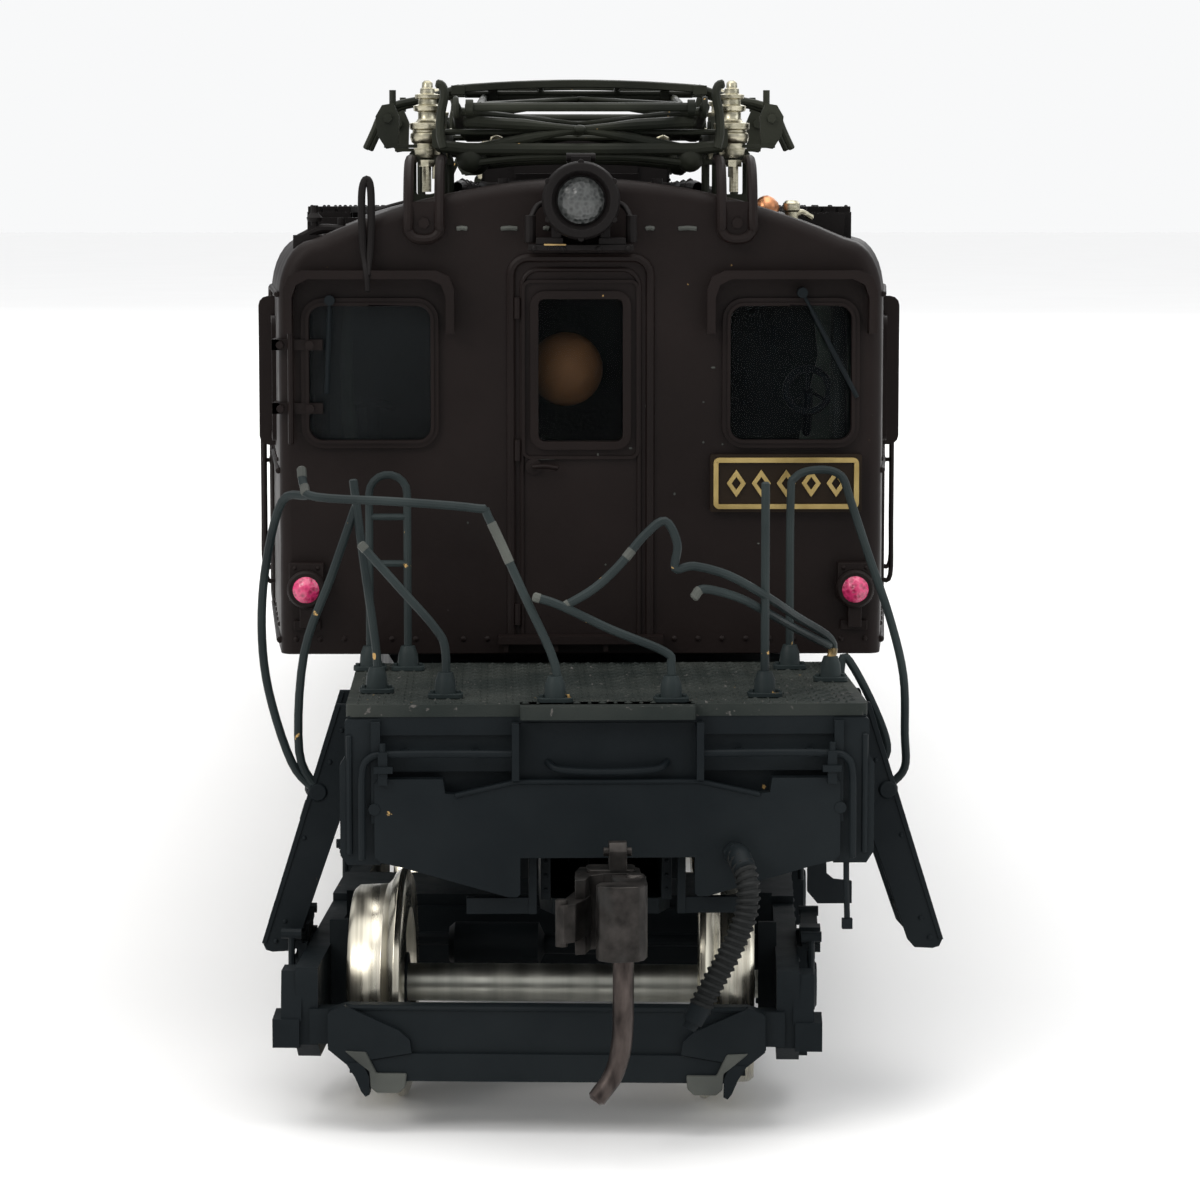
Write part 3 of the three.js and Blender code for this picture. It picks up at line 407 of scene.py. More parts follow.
def studio_world():
    """Soft light that is strongest from above; the camera sees an even pale backdrop."""
    world = bpy.data.worlds.new("studio")
    world.use_nodes = True
    bpy.context.scene.world = world
    tree = world.node_tree
    tree.nodes.clear()
    coord = tree.nodes.new("ShaderNodeTexCoord")
    split = tree.nodes.new("ShaderNodeSeparateXYZ")
    ramp = tree.nodes.new("ShaderNodeValToRGB")
    ramp.color_ramp.elements[0].position = 0.0
    ramp.color_ramp.elements[0].color = (0.16, 0.17, 0.18, 1)
    ramp.color_ramp.elements[1].position = 0.9
    ramp.color_ramp.elements[1].color = (1.0, 1.0, 1.0, 1)
    sky = tree.nodes.new("ShaderNodeBackground")
    sky.inputs["Strength"].default_value = 1.45
    pale = tree.nodes.new("ShaderNodeBackground")
    pale.inputs["Color"].default_value = (0.94, 0.945, 0.95, 1)
    path = tree.nodes.new("ShaderNodeLightPath")
    mix = tree.nodes.new("ShaderNodeMixShader")
    out = tree.nodes.new("ShaderNodeOutputWorld")
    link(tree, coord, "Generated", split, "Vector")
    link(tree, split, "Z", ramp, "Fac")
    link(tree, ramp, "Color", sky, "Color")
    link(tree, path, "Is Camera Ray", mix, "Fac")
    link(tree, sky, "Background", mix, 1)
    link(tree, pale, "Background", mix, 2)
    link(tree, mix, "Shader", out, "Surface")


studio_world()


# ---------------------------------------------------------------------------------------------
# Materials. Sizes in them are in millimetres of the model, through the scale of object space.
# ---------------------------------------------------------------------------------------------
class Look:
    """A Principled material under construction, with short calls for its nodes."""

    def __init__(self, name, roughness=0.5, metallic=0.0, specular=0.5):
        self.material = bpy.data.materials.new(name)
        self.material.use_nodes = True
        self.tree = self.material.node_tree
        self.shader = self.tree.nodes["Principled BSDF"]
        self.set("Roughness", roughness)
        self.set("Metallic", metallic)
        self.set("Specular IOR Level", specular)
        self.coord = self.tree.nodes.new("ShaderNodeTexCoord")
        self.height = None

    def set(self, socket, value):
        self.shader.inputs[socket].default_value = value
        return self

    def noise(self, size_mm, detail=3, stretch=(1, 1, 1), kind="noise"):
        """A pattern whose cells are about size_mm across, longer along a stretched axis."""
        mapping = self.tree.nodes.new("ShaderNodeMapping")
        mapping.inputs["Scale"].default_value = [1 / (size_mm * MM * s) for s in stretch]
        link(self.tree, self.coord, "Object", mapping, "Vector")
        if kind == "cells":
            node = self.tree.nodes.new("ShaderNodeTexVoronoi")
            node.inputs["Scale"].default_value = 1
            link(self.tree, mapping, "Vector", node, "Vector")
            return node.outputs["Distance"]
        node = self.tree.nodes.new("ShaderNodeTexNoise")
        node.inputs["Scale"].default_value = 1
        node.inputs["Detail"].default_value = detail
        link(self.tree, mapping, "Vector", node, "Vector")
        return node.outputs["Fac"]

    def ramp(self, value, *stops):
        """Maps a 0 to 1 value through (position, grey or colour) stops."""
        node = self.tree.nodes.new("ShaderNodeValToRGB")
        elements = node.color_ramp.elements
        while len(elements) < len(stops):
            elements.new(0.5)
        for element, (position, color) in zip(elements, stops):
            element.position = position
            element.color = (*color, 1) if isinstance(color, tuple) else (color, color, color, 1)
        self.tree.links.new(value, node.inputs["Fac"])
        return node.outputs["Color"]

    def mix(self, factor, a, b):
        """A blend of two colours or outputs."""
        node = self.tree.nodes.new("ShaderNodeMix")
        node.data_type = "RGBA"
        self.tree.links.new(factor, node.inputs["Factor"])
        for value, socket in ((a, 6), (b, 7)):
            if isinstance(value, tuple):
                node.inputs[socket].default_value = (*value, 1)
            else:
                self.tree.links.new(value, node.inputs[socket])
        return node.outputs[2]

    def to(self, socket, output):
        self.tree.links.new(output, self.shader.inputs[socket])
        return self

    def bump(self, output, depth_mm, strength=1.0):
        """Adds a relief on top of any that is there already."""
        node = self.tree.nodes.new("ShaderNodeBump")
        node.inputs["Distance"].default_value = depth_mm * MM
        node.inputs["Strength"].default_value = strength
        self.tree.links.new(output, node.inputs["Height"])
        if self.height is not None:
            self.tree.links.new(self.height, node.inputs["Normal"])
        self.height = node.outputs["Normal"]
        self.tree.links.new(self.height, self.shader.inputs["Normal"])
        return self


BRASS = (0.46, 0.30, 0.12)


def paint(
    name, dark, light, roughness, chip=0.735, grain=0.25, depth=0.012, dust=(0.09, 0.085, 0.08), dusty=0.78,
):
    """Sprayed paint: uneven tone, fine grain, settled dust and small chips down to the brass."""
    look = Look(name, roughness[0], specular=0.12)
    tone = look.mix(look.ramp(look.noise(6), (0.35, 0.0), (0.7, 1.0)), dark, light)
    specks = look.ramp(look.noise(0.35, 4), (dusty, 0.0), (dusty + 0.06, 1.0))
    tone = look.mix(specks, tone, dust)
    chips = look.ramp(look.noise(0.9, 5), (chip, 0.0), (chip + 0.015, 1.0))
    look.to("Base Color", look.mix(chips, tone, BRASS))
    look.to("Metallic", chips)
    look.to("Roughness", look.ramp(look.noise(2.2, 4), (0.3, roughness[0]), (0.7, roughness[1])))
    look.bump(look.noise(grain, 4), depth)
    return look.material


def metal(name, dark, light, roughness, brushed=(1, 1, 1), size=0.8, depth=0.004, grime=None):
    """Bare metal with drawn or turned marks; grime is a colour that gathers in patches."""
    look = Look(name, roughness[0], 1.0)
    marks = look.noise(size, 5, brushed)
    tone = look.mix(look.ramp(marks, (0.3, 0.0), (0.72, 1.0)), dark, light)
    if grime:
        patches = look.ramp(look.noise(2.0, 5), (0.52, 0.0), (0.68, 1.0))
        tone = look.mix(patches, tone, grime)
        look.to("Metallic", look.ramp(look.noise(2.0, 5), (0.52, 1.0), (0.68, 0.45)))
    look.to("Base Color", tone)
    look.to(
        "Roughness", look.ramp(look.noise(size * 1.7, 4, brushed), (0.3, roughness[0]), (0.7, roughness[1])),
    )
    look.bump(marks, depth)
    return look.material


def clear(name, tint, alpha, roughness):
    """Thin glass or celluloid, tinted and a little smeared."""
    look = Look(name, roughness, specular=0.14)
    smear = look.noise(3.5, 5, (1, 1, 2.5))
    look.to(
        "Base Color",
        look.mix(look.ramp(smear, (0.35, 0.0), (0.75, 1.0)), tint, tuple(c * 2.2 for c in tint)),
    )
    look.to("Alpha", look.ramp(smear, (0.3, alpha), (0.8, min(1.0, alpha * 1.5))))
    look.to("Roughness", look.ramp(look.noise(0.8, 4), (0.4, roughness), (0.75, roughness * 2.5)))
    return look.material


def jewel(name, dark, light, roughness, cell):
    """A moulded lamp lens: cells of pattern under a clear coat."""
    look = Look(name, roughness, specular=0.7)
    cells = look.noise(cell, kind="cells")
    look.to("Base Color", look.mix(look.ramp(cells, (0.1, 0.0), (0.65, 1.0)), dark, light))
    look.to("Roughness", look.ramp(look.noise(0.6, 4), (0.3, roughness), (0.7, roughness * 2)))
    look.bump(cells, 0.05)
    look.set("Coat Weight", 0.3)
    look.set("Coat Roughness", 0.08)
    return look.material


BODY_PAINT = paint("body_paint", (0.0076, 0.0047, 0.0042), (0.0112, 0.0073, 0.0066), (0.42, 0.56), chip=0.77)
FRAME_PAINT = paint("frame_paint", (0.0038, 0.0062, 0.0078), (0.0074, 0.0104, 0.012), (0.5, 0.66), chip=0.76)
DECK_PAINT = paint(
    "deck_paint", (0.014, 0.018, 0.0165), (0.034, 0.038, 0.034), (0.55, 0.75), grain=0.4, depth=0.03,
    dusty=0.66,
)
WIRE_PAINT = paint("wire_paint", (0.01, 0.0145, 0.0155), (0.027, 0.036, 0.036), (0.4, 0.55), chip=0.7)
PAN_PAINT = paint("pantograph_paint", (0.009, 0.0105, 0.0075), (0.03, 0.032, 0.023), (0.4, 0.58), chip=0.72)
ROOF_PAINT = paint("roof_paint", (0.0052, 0.0042, 0.0041), (0.0095, 0.0078, 0.0076), (0.48, 0.64), chip=0.77)
NICKEL = metal("nickel_steel", (0.46, 0.43, 0.35), (0.74, 0.70, 0.59), (0.2, 0.34), (0.7, 60, 60), 0.3, 0.002)
AXLE_STEEL = metal(
    "axle_steel", (0.36, 0.36, 0.32), (0.58, 0.58, 0.52), (0.32, 0.5), (1.6, 60, 60), 0.6, 0.002,
)
INSULATOR = metal("insulator_nickel", (0.32, 0.30, 0.21), (0.58, 0.54, 0.42), (0.24, 0.42), (1, 1, 0.3), 0.4)
BARE_BRASS = metal(
    "bare_brass", (0.34, 0.22, 0.09), (0.62, 0.44, 0.2), (0.28, 0.5), grime=(0.06, 0.045, 0.02),
)
COPPER = metal("copper_part", (0.36, 0.14, 0.06), (0.65, 0.30, 0.15), (0.25, 0.45), grime=(0.07, 0.03, 0.015))
COUPLER_METAL = metal(
    "coupler_metal", (0.018, 0.017, 0.016), (0.055, 0.05, 0.047), (0.42, 0.6), grime=(0.012, 0.012, 0.011),
)
PIN_METAL = metal("trip_pin", (0.022, 0.018, 0.017), (0.1, 0.082, 0.075), (0.36, 0.52), (1, 1, 3), 0.6)
GOLD_LINE = metal("gold_line", (0.33, 0.24, 0.09), (0.48, 0.36, 0.15), (0.3, 0.45), size=1.2)
PLATE_FIELD = paint("plate_field", (0.010, 0.006, 0.003), (0.018, 0.011, 0.006), (0.35, 0.5))
MOTOR_CASE = metal("motor_case", (0.3, 0.3, 0.29), (0.5, 0.5, 0.48), (0.35, 0.5), (1, 6, 1), 0.5)
LACQUER = metal("copper_winding", (0.3, 0.1, 0.03), (0.55, 0.24, 0.1), (0.25, 0.4), (1, 8, 1), 0.12, 0.02)
RUBBER = paint("rubber", (0.008, 0.009, 0.009), (0.018, 0.019, 0.019), (0.55, 0.75), chip=0.99, grain=0.15)
CELLULOID = clear("glazing", (0.0006, 0.0012, 0.0016), 0.16, 0.08)
HAZED = clear("hazed_pane", (0.0042, 0.0056, 0.0062), 0.5, 0.2)
CLEAR_PANE = clear("door_pane", (0.001, 0.0016, 0.0016), 0.12, 0.06)
LAMP_GLASS = jewel("lamp_glass", (0.008, 0.01, 0.01), (0.05, 0.054, 0.052), 0.3, 0.22)
RED_LENS = jewel("tail_lens", (0.24, 0.006, 0.045), (0.6, 0.03, 0.14), 0.16, 0.25)
CAB_GREEN = paint("cab_interior", (0.08, 0.11, 0.085), (0.14, 0.18, 0.14), (0.5, 0.7), chip=0.99)
# near-black copy of the cab's green for the bulkhead and desks: painted shade inside the cab
CAB_SHADE = paint("cab_shade", (0.006, 0.009, 0.009), (0.014, 0.019, 0.018), (0.6, 0.8), chip=0.99)
# warm orange-brown ball behind the door pane: a painted reflection in the pane
CAB_REFLECTION_GLOBE = paint("cab_reflection_globe", (0.085, 0.04, 0.016), (0.16, 0.08, 0.034), (0.6, 0.75), chip=0.99)
# pale grey-green paint used for real wear and for painted highlights: chips in the end face, a painted highlight
# along the door handle, the rubbed and highlighted roof seam, the rails' pale ends and the painted highlight on
# the guard's feet
WEAR_AND_HIGHLIGHT_PAINT = paint("wear_and_highlight_paint", (0.035, 0.038, 0.035), (0.1, 0.105, 0.094), (0.45, 0.65), chip=0.9)
# darker copy of the cab's green for the side walls: painted shade inside the cab
CAB_WALL_SHADED = paint("cab_wall_painted_shade", (0.03, 0.042, 0.036), (0.06, 0.078, 0.066), (0.5, 0.7), chip=0.99)
FLOOR = Look("studio_floor", 0.85, specular=0.2)
FLOOR.to("Base Color", FLOOR.mix(FLOOR.noise(60, 3), (0.80, 0.80, 0.80), (0.84, 0.84, 0.84)))


# ---------------------------------------------------------------------------------------------
# Floor
# ---------------------------------------------------------------------------------------------
def studio_floor():
    form = Form()
    reach, steps = 6000, 12
    line = [-reach + 2 * reach * k / steps for k in range(steps + 1)]
    for x0, x1 in zip(line, line[1:]):
        for y0, y1 in zip(line, line[1:]):
            form.put([(x0, y0, 0), (x1, y0, 0), (x1, y1, 0), (x0, y1, 0)], [(0, 1, 2, 3)])
    mesh = bpy.data.meshes.new("studio_floor")
    mesh.from_pydata([tuple(v * MM) for v in form.verts], [], form.faces)
    mesh.materials.append(FLOOR.material)
    obj = bpy.data.objects.new("studio_floor", mesh)
    bpy.context.scene.collection.objects.link(obj)


studio_floor()


# ---------------------------------------------------------------------------------------------
# Body shell: heights over the rail top, the front end looks along -Y
# ---------------------------------------------------------------------------------------------
body_low, body_high = own_box("body_shell")
HOOD_REACH = 1.2  # the window hoods reach out furthest
NOSE = body_low.y + HOOD_REACH  # the flat end face
SILL = body_low.z
CROWN = body_high.z
CORNICE = CROWN - 3.2
EAVES = CROWN - 6.3
SHOULDER = 1.8
HALF_WIDTH = body_high.x
NOSE_HALF_WIDTH = HALF_WIDTH - 1.75
TAPER = 20
WALL = 0.8
WINDOW_BOTTOM, WINDOW_TOP = 31.65, 38.8
WINDOW_IN, WINDOW_OUT = 7.7, 14.2
DOOR_WINDOW = (-2.2, 2.2, 31.66, 39.06)
SIDE_WINDOWS = (-60, -36, -12, 12, 36, 60)
CAB_WINDOWS = (-91, -79.5, 79.5, 91)
SIDE_SILL, SIDE_LINTEL = 31.7, 37.6


def roof_height(x, half_width=HALF_WIDTH, inset=0.0):
    """The roof's height over the rail at a distance from the middle."""
    edge = half_width - SHOULDER
    return CORNICE + (CROWN - CORNICE) * (1 - (x / edge) ** 2) - inset


def body_ring(y, half_width, inset, bottom):
    """The cross-section from the sill round the roof: straight sides, tight shoulders, low crown."""
    w = half_width - inset
    shoulder_end = math.radians(76)
    right = [(w, bottom), (w, EAVES - 0.4 * inset)]
    for k in range(1, 8):
        a = shoulder_end * k / 7
        z = EAVES + (CORNICE - EAVES) * math.sin(a) - inset * (0.4 + 0.5 * k / 7)
        right.append((w - SHOULDER * (1 - math.cos(a)), z))
    edge = w - SHOULDER
    for k in range(10):
        t = 0.985 - 0.985 * k / 10
        right.append((edge * t, CORNICE + (CROWN - CORNICE) * (1 - t * t) - inset))
    ring = right + [(0, CROWN - inset)] + [(-x, z) for x, z in reversed(right)]
    return [Vector((x, y, z)) for x, z in ring]


def body_form(inset, bottom, round_over):
    """The whole body as a closed skin; round_over rounds the edge of the end faces."""
    end = -NOSE - inset
    shoulder = -NOSE - TAPER
    front = []
    for k in range(5 if round_over else 1):
        a = math.radians(90 * k / 4)
        pull = round_over * (1 - math.sin(a))
        y = -end + round_over * (1 - math.cos(a))
        front.append(body_ring(y, NOSE_HALF_WIDTH, inset + pull, bottom))
    for step in (0.25, 0.5, 0.75):
        half = NOSE_HALF_WIDTH + (HALF_WIDTH - NOSE_HALF_WIDTH) * step
        front.append(body_ring(-end + (end - shoulder) * step, half, inset, bottom))
    middle = [body_ring(y, HALF_WIDTH, inset, bottom) for y in (-shoulder, shoulder)]
    back = [[Vector((p.x, -p.y, p.z)) for p in ring] for ring in reversed(front)]
    return Form().rings(front + middle + back)


def frame_outline(u0, u1, v0, v1, width, r):
    """A rounded rectangle's outer outline and the hole in it."""
    return rounded(u0 - width, u1 + width, v0 - width, v1 + width, r + width), rounded(u0, u1, v0, v1, r)


def raised_frame(form, axis, lo, hi, opening, width, r):
    outer, inner = frame_outline(*opening, width, r)
    return form.plate(axis, lo, hi, outer, [inner])


def bead(form, path, r=0.2, closed=False):
    """A half-round bead laid on a face."""
    return form.tube(path, r, 8, 3, closed, smooth=False)


def rivet(r=0.16, height=0.11, sides=7):
    """A rivet head that stands out along +X."""
    rim = [
        (-0.05, AXIS), (-0.05, r), (0.25 * height, r), (0.7 * height, 0.72 * r), (height, 0.3 * r),
        (height, AXIS),
    ]
    return Form().turned(rim, sides=sides)


RIVET = rivet()
ALONG = {"-y": Matrix.Rotation(-math.pi / 2, 4, "Z"), "z": Matrix.Rotation(-math.pi / 2, 4, "Y")}


def rivets(form, points, toward="-y", head=RIVET):
    for p in points:
        form.stamp(head, Matrix.Translation(p) @ ALONG[toward])
    return form


def line_of(a, b, count):
    a, b = Vector(a), Vector(b)
    return [a.lerp(b, k / (count - 1)) for k in range(count)]


def side_place(y, side, z=0.0):
    """From flat side millimetres (outwards, along the side, up) to the body's skin at y."""
    over = abs(y) - (-NOSE - TAPER)
    if over > 0:
        x = HALF_WIDTH - (HALF_WIDTH - NOSE_HALF_WIDTH) * over / TAPER
        turn = math.atan2(HALF_WIDTH - NOSE_HALF_WIDTH, TAPER) * (1 if y > 0 else -1)
    else:
        x, turn = HALF_WIDTH, 0.0
    out = Matrix.Translation((x, y, z)) @ Matrix.Rotation(turn, 4, "Z")
    return Matrix.Scale(side, 4, (1, 0, 0)) @ out


def louver(half, height, slats):
    """A pressed louvre panel: a frame with slanting slats."""
    form = Form()
    raised_frame(form, "x", -0.1, 0.2, (-half, half, 0, height), 0.35, 0.15)
    pitch = height / slats
    for k in range(slats):
        z = pitch * (k + 0.15)
        lip = [(0.02, z), (0.28, z - 0.02), (0.28, z + 0.1), (0.02, z + 0.6 * pitch)]
        form.rings([[Vector((x, y, v)) for x, v in lip] for y in (-half, half)])
    return form


def side_trim():
    """Everything that stands out of one long side, for both sides."""
    trim = Form()
    for side in (-1, 1):
        for y in SIDE_WINDOWS:
            window = Form()
            raised_frame(window, "x", -0.15, 0.22, (-3.2, 3.2, SIDE_SILL, SIDE_LINTEL), 0.42, 0.35)
            raised_frame(
                window, "x", -0.5, 0.08, (-2.95, 2.95, SIDE_SILL + 0.25, SIDE_LINTEL - 0.25), 0.2, 0.3,
            )
            window.box(-0.2, 0.45, -3.9, 3.9, SIDE_LINTEL + 0.55, SIDE_LINTEL + 0.8)
            trim.stamp(window, side_place(y, side))
            trim.stamp(louver(3.3, 4.6, 8), side_place(y, side, 24.2))
        for y in (-48, -24, 0, 24, 48):
            trim.stamp(louver(3.0, 5.4, 9), side_place(y, side, 31.9))
            trim.stamp(louver(3.0, 3.2, 5), side_place(y, side, 24.9))
        for y in CAB_WINDOWS:
            window = Form()
            raised_frame(window, "x", -0.15, 0.22, (-2.4, 2.4, SIDE_SILL, SIDE_LINTEL), 0.38, 0.35)
            if abs(y) < 85:
                bead(window, [(0.02, u, v) for u, v in rounded(-3.3, 3.3, 21.4, 39.2, 0.6)], 0.14, True)
                bead(window, [(0.02, u, v) for u, v in rounded(-2.2, 2.2, 22.6, 29.6, 0.4)], 0.09, True)
                window.turned(
                    [(0, AXIS), (0, 0.35), (0.15, 0.35), (0.2, 0.12), (0.55, 0.12), (0.55, AXIS)],
                    (0, 2.5, 29.2),
                )
                window.box(0.42, 0.6, 1.5, 2.75, 29.1, 29.35)
                for u in (-4.1, 4.1):
                    window.tube(
                        [
                            (0, u, 22.8), (0.5, u, 23.1), (0.53, u, 26), (0.53, u, 33), (0.5, u, 35.7),
                            (0, u, 36),
                        ], 0.14, 8, 4,
                    )
            trim.stamp(window, side_place(y, side))
        for z, r in ((30.1, 0.16), (21.2, 0.18), (39.3, 0.16)):
            for y0, y1 in (
                (NOSE + 0.6, NOSE + TAPER), (NOSE + TAPER, -NOSE - TAPER), (-NOSE - TAPER, -NOSE - 0.6),
            ):
                ends = [side_place(y, side) @ Vector((0, 0, z)) for y in (y0, y1)]
                bead(trim, ends, r)
        for z in (21.8, 30.55):
            for k in range(86):
                y = -75.6 + 151.2 * k / 85
                trim.stamp(rivet(0.13, 0.09, 6), side_place(y, side, z))
            for sign in (-1, 1):
                for k in range(6):
                    trim.stamp(rivet(0.13, 0.09, 6), side_place(sign * (84.2 + 2.5 * k), side, z))
    return trim


def hood(x):
    """A bent rain hood over an end window, with a lip along its edge."""
    outer = [
        (-4.3, 37.3), (-4.3, 39.5), (-4.05, 40.15), (-3.4, 40.45), (3.4, 40.45), (4.05, 40.15), (4.3, 39.5),
        (4.3, 37.3),
    ]
    inner = [(u * 0.925, v - (0.34 if v > 38 else 0)) for u, v in outer]
    form = Form()
    for y0, y1, grow in ((NOSE - 1.0, NOSE + 0.3, 0.0), (NOSE - HOOD_REACH, NOSE - 0.98, 0.1)):
        loop = [
            (x + u * (1 + grow / 4), v + grow * (v > 38)) for u, v in outer
        ] + [(x + u, v) for u, v in reversed(inner)]
        form.plate("y", y0, y1, loop)
    return form


def nose_trim():
    """The relief of an end face: window frames, hoods, wind plates, door beads, straps, step, door handle, hinges
    and rivets.
    """
    form = Form()
    face = NOSE
    for sign in (-1, 1):
        lo, hi = sorted((sign * WINDOW_IN, sign * WINDOW_OUT))
        raised_frame(
            form, "y", face - 0.28, face + 0.1, (lo + 0.1, hi - 0.1, WINDOW_BOTTOM + 0.1, WINDOW_TOP - 0.1),
            0.42, 0.7,
        )
        raised_frame(
            form, "y", face - 0.4, face + 0.5,
            (lo + 0.08, hi - 0.08, WINDOW_BOTTOM + 0.08, WINDOW_TOP - 0.08), 0.16, 0.7,
        )
        form.stamp(hood(sign * 10.95), Matrix.Identity(4))
        # wind plate on its two straps
        form.rings(
            [
                [Vector((sign * x, NOSE + 9.6 + y, z)) for x, z in rounded(15.9, 17.45, 30.9, 39, 0.5, 3)]
                for y in (-0.22, 0.22)
            ]
        )
    raised_frame(form, "y", face - 0.3, face + 0.1, DOOR_WINDOW, 0.42, 0.35)
    raised_frame(form, "y", face - 0.18, face + 0.1, (-2.9, 2.9, 30.9, 39.9), 0.16, 0.3)
    bead(form, [(u, face - 0.02, v) for u, v in door_arch(3.62, 41.2)], 0.24)
    bead(form, [(u, face - 0.02, v) for u, v in door_arch(3.05, 40.6)], 0.13)
    for z in (33.4, 36.7):  # straps round the left corner
        form.box(-NOSE_HALF_WIDTH - 0.28, -13.4, face - 0.36, face + 0.1, z - 0.28, z + 0.28)
        form.box(-NOSE_HALF_WIDTH - 0.3, -NOSE_HALF_WIDTH + 0.1, face - 0.36, face + 2.2, z - 0.28, z + 0.28)
        form.rod((-14.05, face - 0.35, z), (-14.05, face - 0.75, z), 0.24, sides=8)
        form.rod((-15.6, face - 0.35, z), (-15.6, face - 0.7, z), 0.2, sides=8)
    form.tube([(-15.05, face - 0.55, 31.6), (-15.05, face - 0.55, 38.2)], 0.16, 8, 3)
    form.box(-4.3, 4.3, face - 1.3, face + 0.1, 21.15, 21.55)  # tread below the door
    for x in (-3.9, -1.3, 1.3, 3.9):
        form.box(x - 0.12, x + 0.12, face - 1.1, face, 20.75, 21.2)
    form.turned(
        [(0, AXIS), (0, 0.42), (-0.2, 0.42), (-0.25, 0.16), (-0.6, 0.16), (-0.6, AXIS)],
        (-2.45, face, 30.35), "y",
    )
    form.tube([(-2.5, face - 0.55, 30.35), (-1.9, face - 0.6, 30.4), (-1.2, face - 0.55, 30.3)], 0.13, 8)
    for x, z in ((-3.3, 22.6), (-3.3, 31.2), (-3.3, 38.6)):  # door hinges
        form.rod((x, face - 0.16, z - 0.55), (x, face - 0.16, z + 0.55), 0.17, sides=8)
    rivets(
        form,
        line_of(
            (-14.9, face, 21.3), (-4.9, face, 21.3), 9,
        ) + line_of((4.9, face, 21.3), (14.9, face, 21.3), 9),
    )
    return form


def door_arch(half, top):
    """The door's bead: up one side, round the top and down the other."""
    r = 0.9
    arc = [
        (half - r + r * math.cos(a), top - r + r * math.sin(a))
        for a in (math.radians(18 * k) for k in range(6))
    ]
    left = [(-u, v) for u, v in arc]
    return [(half, 21.4), *arc, *reversed(left), (-half, 21.4)]


def body_shell():
    """The hollow shell with its windows cut, and the relief on its sides and ends."""
    whole = body_form(0, SILL, 0.7)
    cutters = [body_form(WALL, SILL - 5, 0)]
    ends = Form()
    for sign in (-1, 1):
        lo, hi = sorted((sign * (-NOSE + 1), sign * (-NOSE - 3)))
        for side in (-1, 1):
            u0, u1 = sorted((side * WINDOW_IN, side * WINDOW_OUT))
            ends.plate("y", lo, hi, rounded(u0, u1, WINDOW_BOTTOM, WINDOW_TOP, 0.8))
        ends.plate("y", lo, hi, rounded(*DOOR_WINDOW, 0.35))
    cutters.append(ends)
    sides = Form()
    for y in (*SIDE_WINDOWS, *CAB_WINDOWS):
        half = 3.2 if y in SIDE_WINDOWS else 2.4
        sides.plate(
            "x", -HALF_WIDTH - 1, HALF_WIDTH + 1, rounded(y - half, y + half, SIDE_SILL, SIDE_LINTEL, 0.35),
        )
    cutters.append(sides)
    shell = make("body_shell_skin", whole, BODY_PAINT, "body", place("body"),
                 ("body_shell",), bevel=0.06, cutters=cutters)
    flat = shell.modifiers.new("Flat", "WEIGHTED_NORMAL")
    flat.keep_sharp = True
    make("body_side_trim", side_trim(), BODY_PAINT, "body", place("body"), bevel=0.03)
    for end in ("front", "rear"):
        make(
            f"{end}_nose_trim", nose_trim(), BODY_PAINT, "body", place("body", end),
            bevel=0.04,
        )


body_shell()


# ---------------------------------------------------------------------------------------------
# Roof: ventilator, walkways, pipes, fittings
# ---------------------------------------------------------------------------------------------
def ventilator():
    """The long monitor on the roof's middle, with louvres, lids and rivets."""
    low, high = own_box("roof_ventilator")
    form = Form()
    sides = [
        (-high.x, 44.7), (high.x, 44.7), (high.x, 47.2), (high.x - 0.25, 47.7), (4.4, high.z - 0.12),
        (3.6, high.z),
    ]
    outline = sides + [(-u, v) for u, v in reversed(sides[2:])]
    form.plate("y", low.y, high.y, outline)
    for k in range(7):  # hatches along the top
        y = low.y + 8.5 + 17.8 * k
        form.plate("z", high.z - 0.06, high.z + 0.22, rounded(-3.3, 3.3, y - 6.8, y + 6.8, 0.5))
        for u in (-3.6, 3.6):
            form.rod((u, y - 0.8, high.z + 0.1), (u, y + 0.8, high.z + 0.1), 0.22, sides=8)
        form.tube(
            [
                (-1, y - 5.6, high.z + 0.2), (-0.8, y - 5.6, high.z + 0.55), (0.8, y - 5.6, high.z + 0.55),
                (1, y - 5.6, high.z + 0.2),
            ], 0.12, 6, 3,
        )
        rivets(form, [(u, y + v, high.z + 0.2) for u in (-2.8, 2.8) for v in (-6.2, -3.1, 0, 3.1, 6.2)], "z")
    for side in (-1, 1):
        for k in range(12):
            y = low.y + 5.2 + 10.2 * k
            spot = Matrix.Scale(side, 4, (1, 0, 0)) @ Matrix.Translation((high.x, y, 45.35))
            form.stamp(louver(4.1, 1.5, 3), spot)
    for y in (low.y, high.y):
        sign = 1 if y > 0 else -1
        form.box(-3.8, 3.8, y, y + sign * 0.25, 45.6, 47.4)
    return form


def walkway(side):
    """Planks along the roof's edge on small brackets."""
    low, high = own_box("roof_walkway_right")
    form = Form()
    gap = 0.12
    width = (high.x - low.x - 2 * gap) / 3
    for k in range(3):
        x0 = low.x + k * (width + gap)
        for j in range(8):
            y0 = low.y + (high.y - low.y) * j / 8
            form.box(
                side * x0, side * (x0 + width), y0 + 0.08, low.y + (high.y - low.y) * (j + 1) / 8 - 0.08,
                low.z, high.z,
            )
    for k in range(17):
        y = low.y + 2 + (high.y - low.y - 4) * k / 16
        foot = roof_height(12.6) - 0.3
        form.box(side * low.x, side * high.x, y - 0.25, y + 0.25, low.z - 0.3, low.z + 0.02)
        form.box(side * 12.2, side * 12.7, y - 0.25, y + 0.25, foot, low.z - 0.25)
        rivets(form, [(side * (low.x + u), y, high.z) for u in (0.4, 1.3, 2.2)], "z", rivet(0.12, 0.08, 6))
    return form


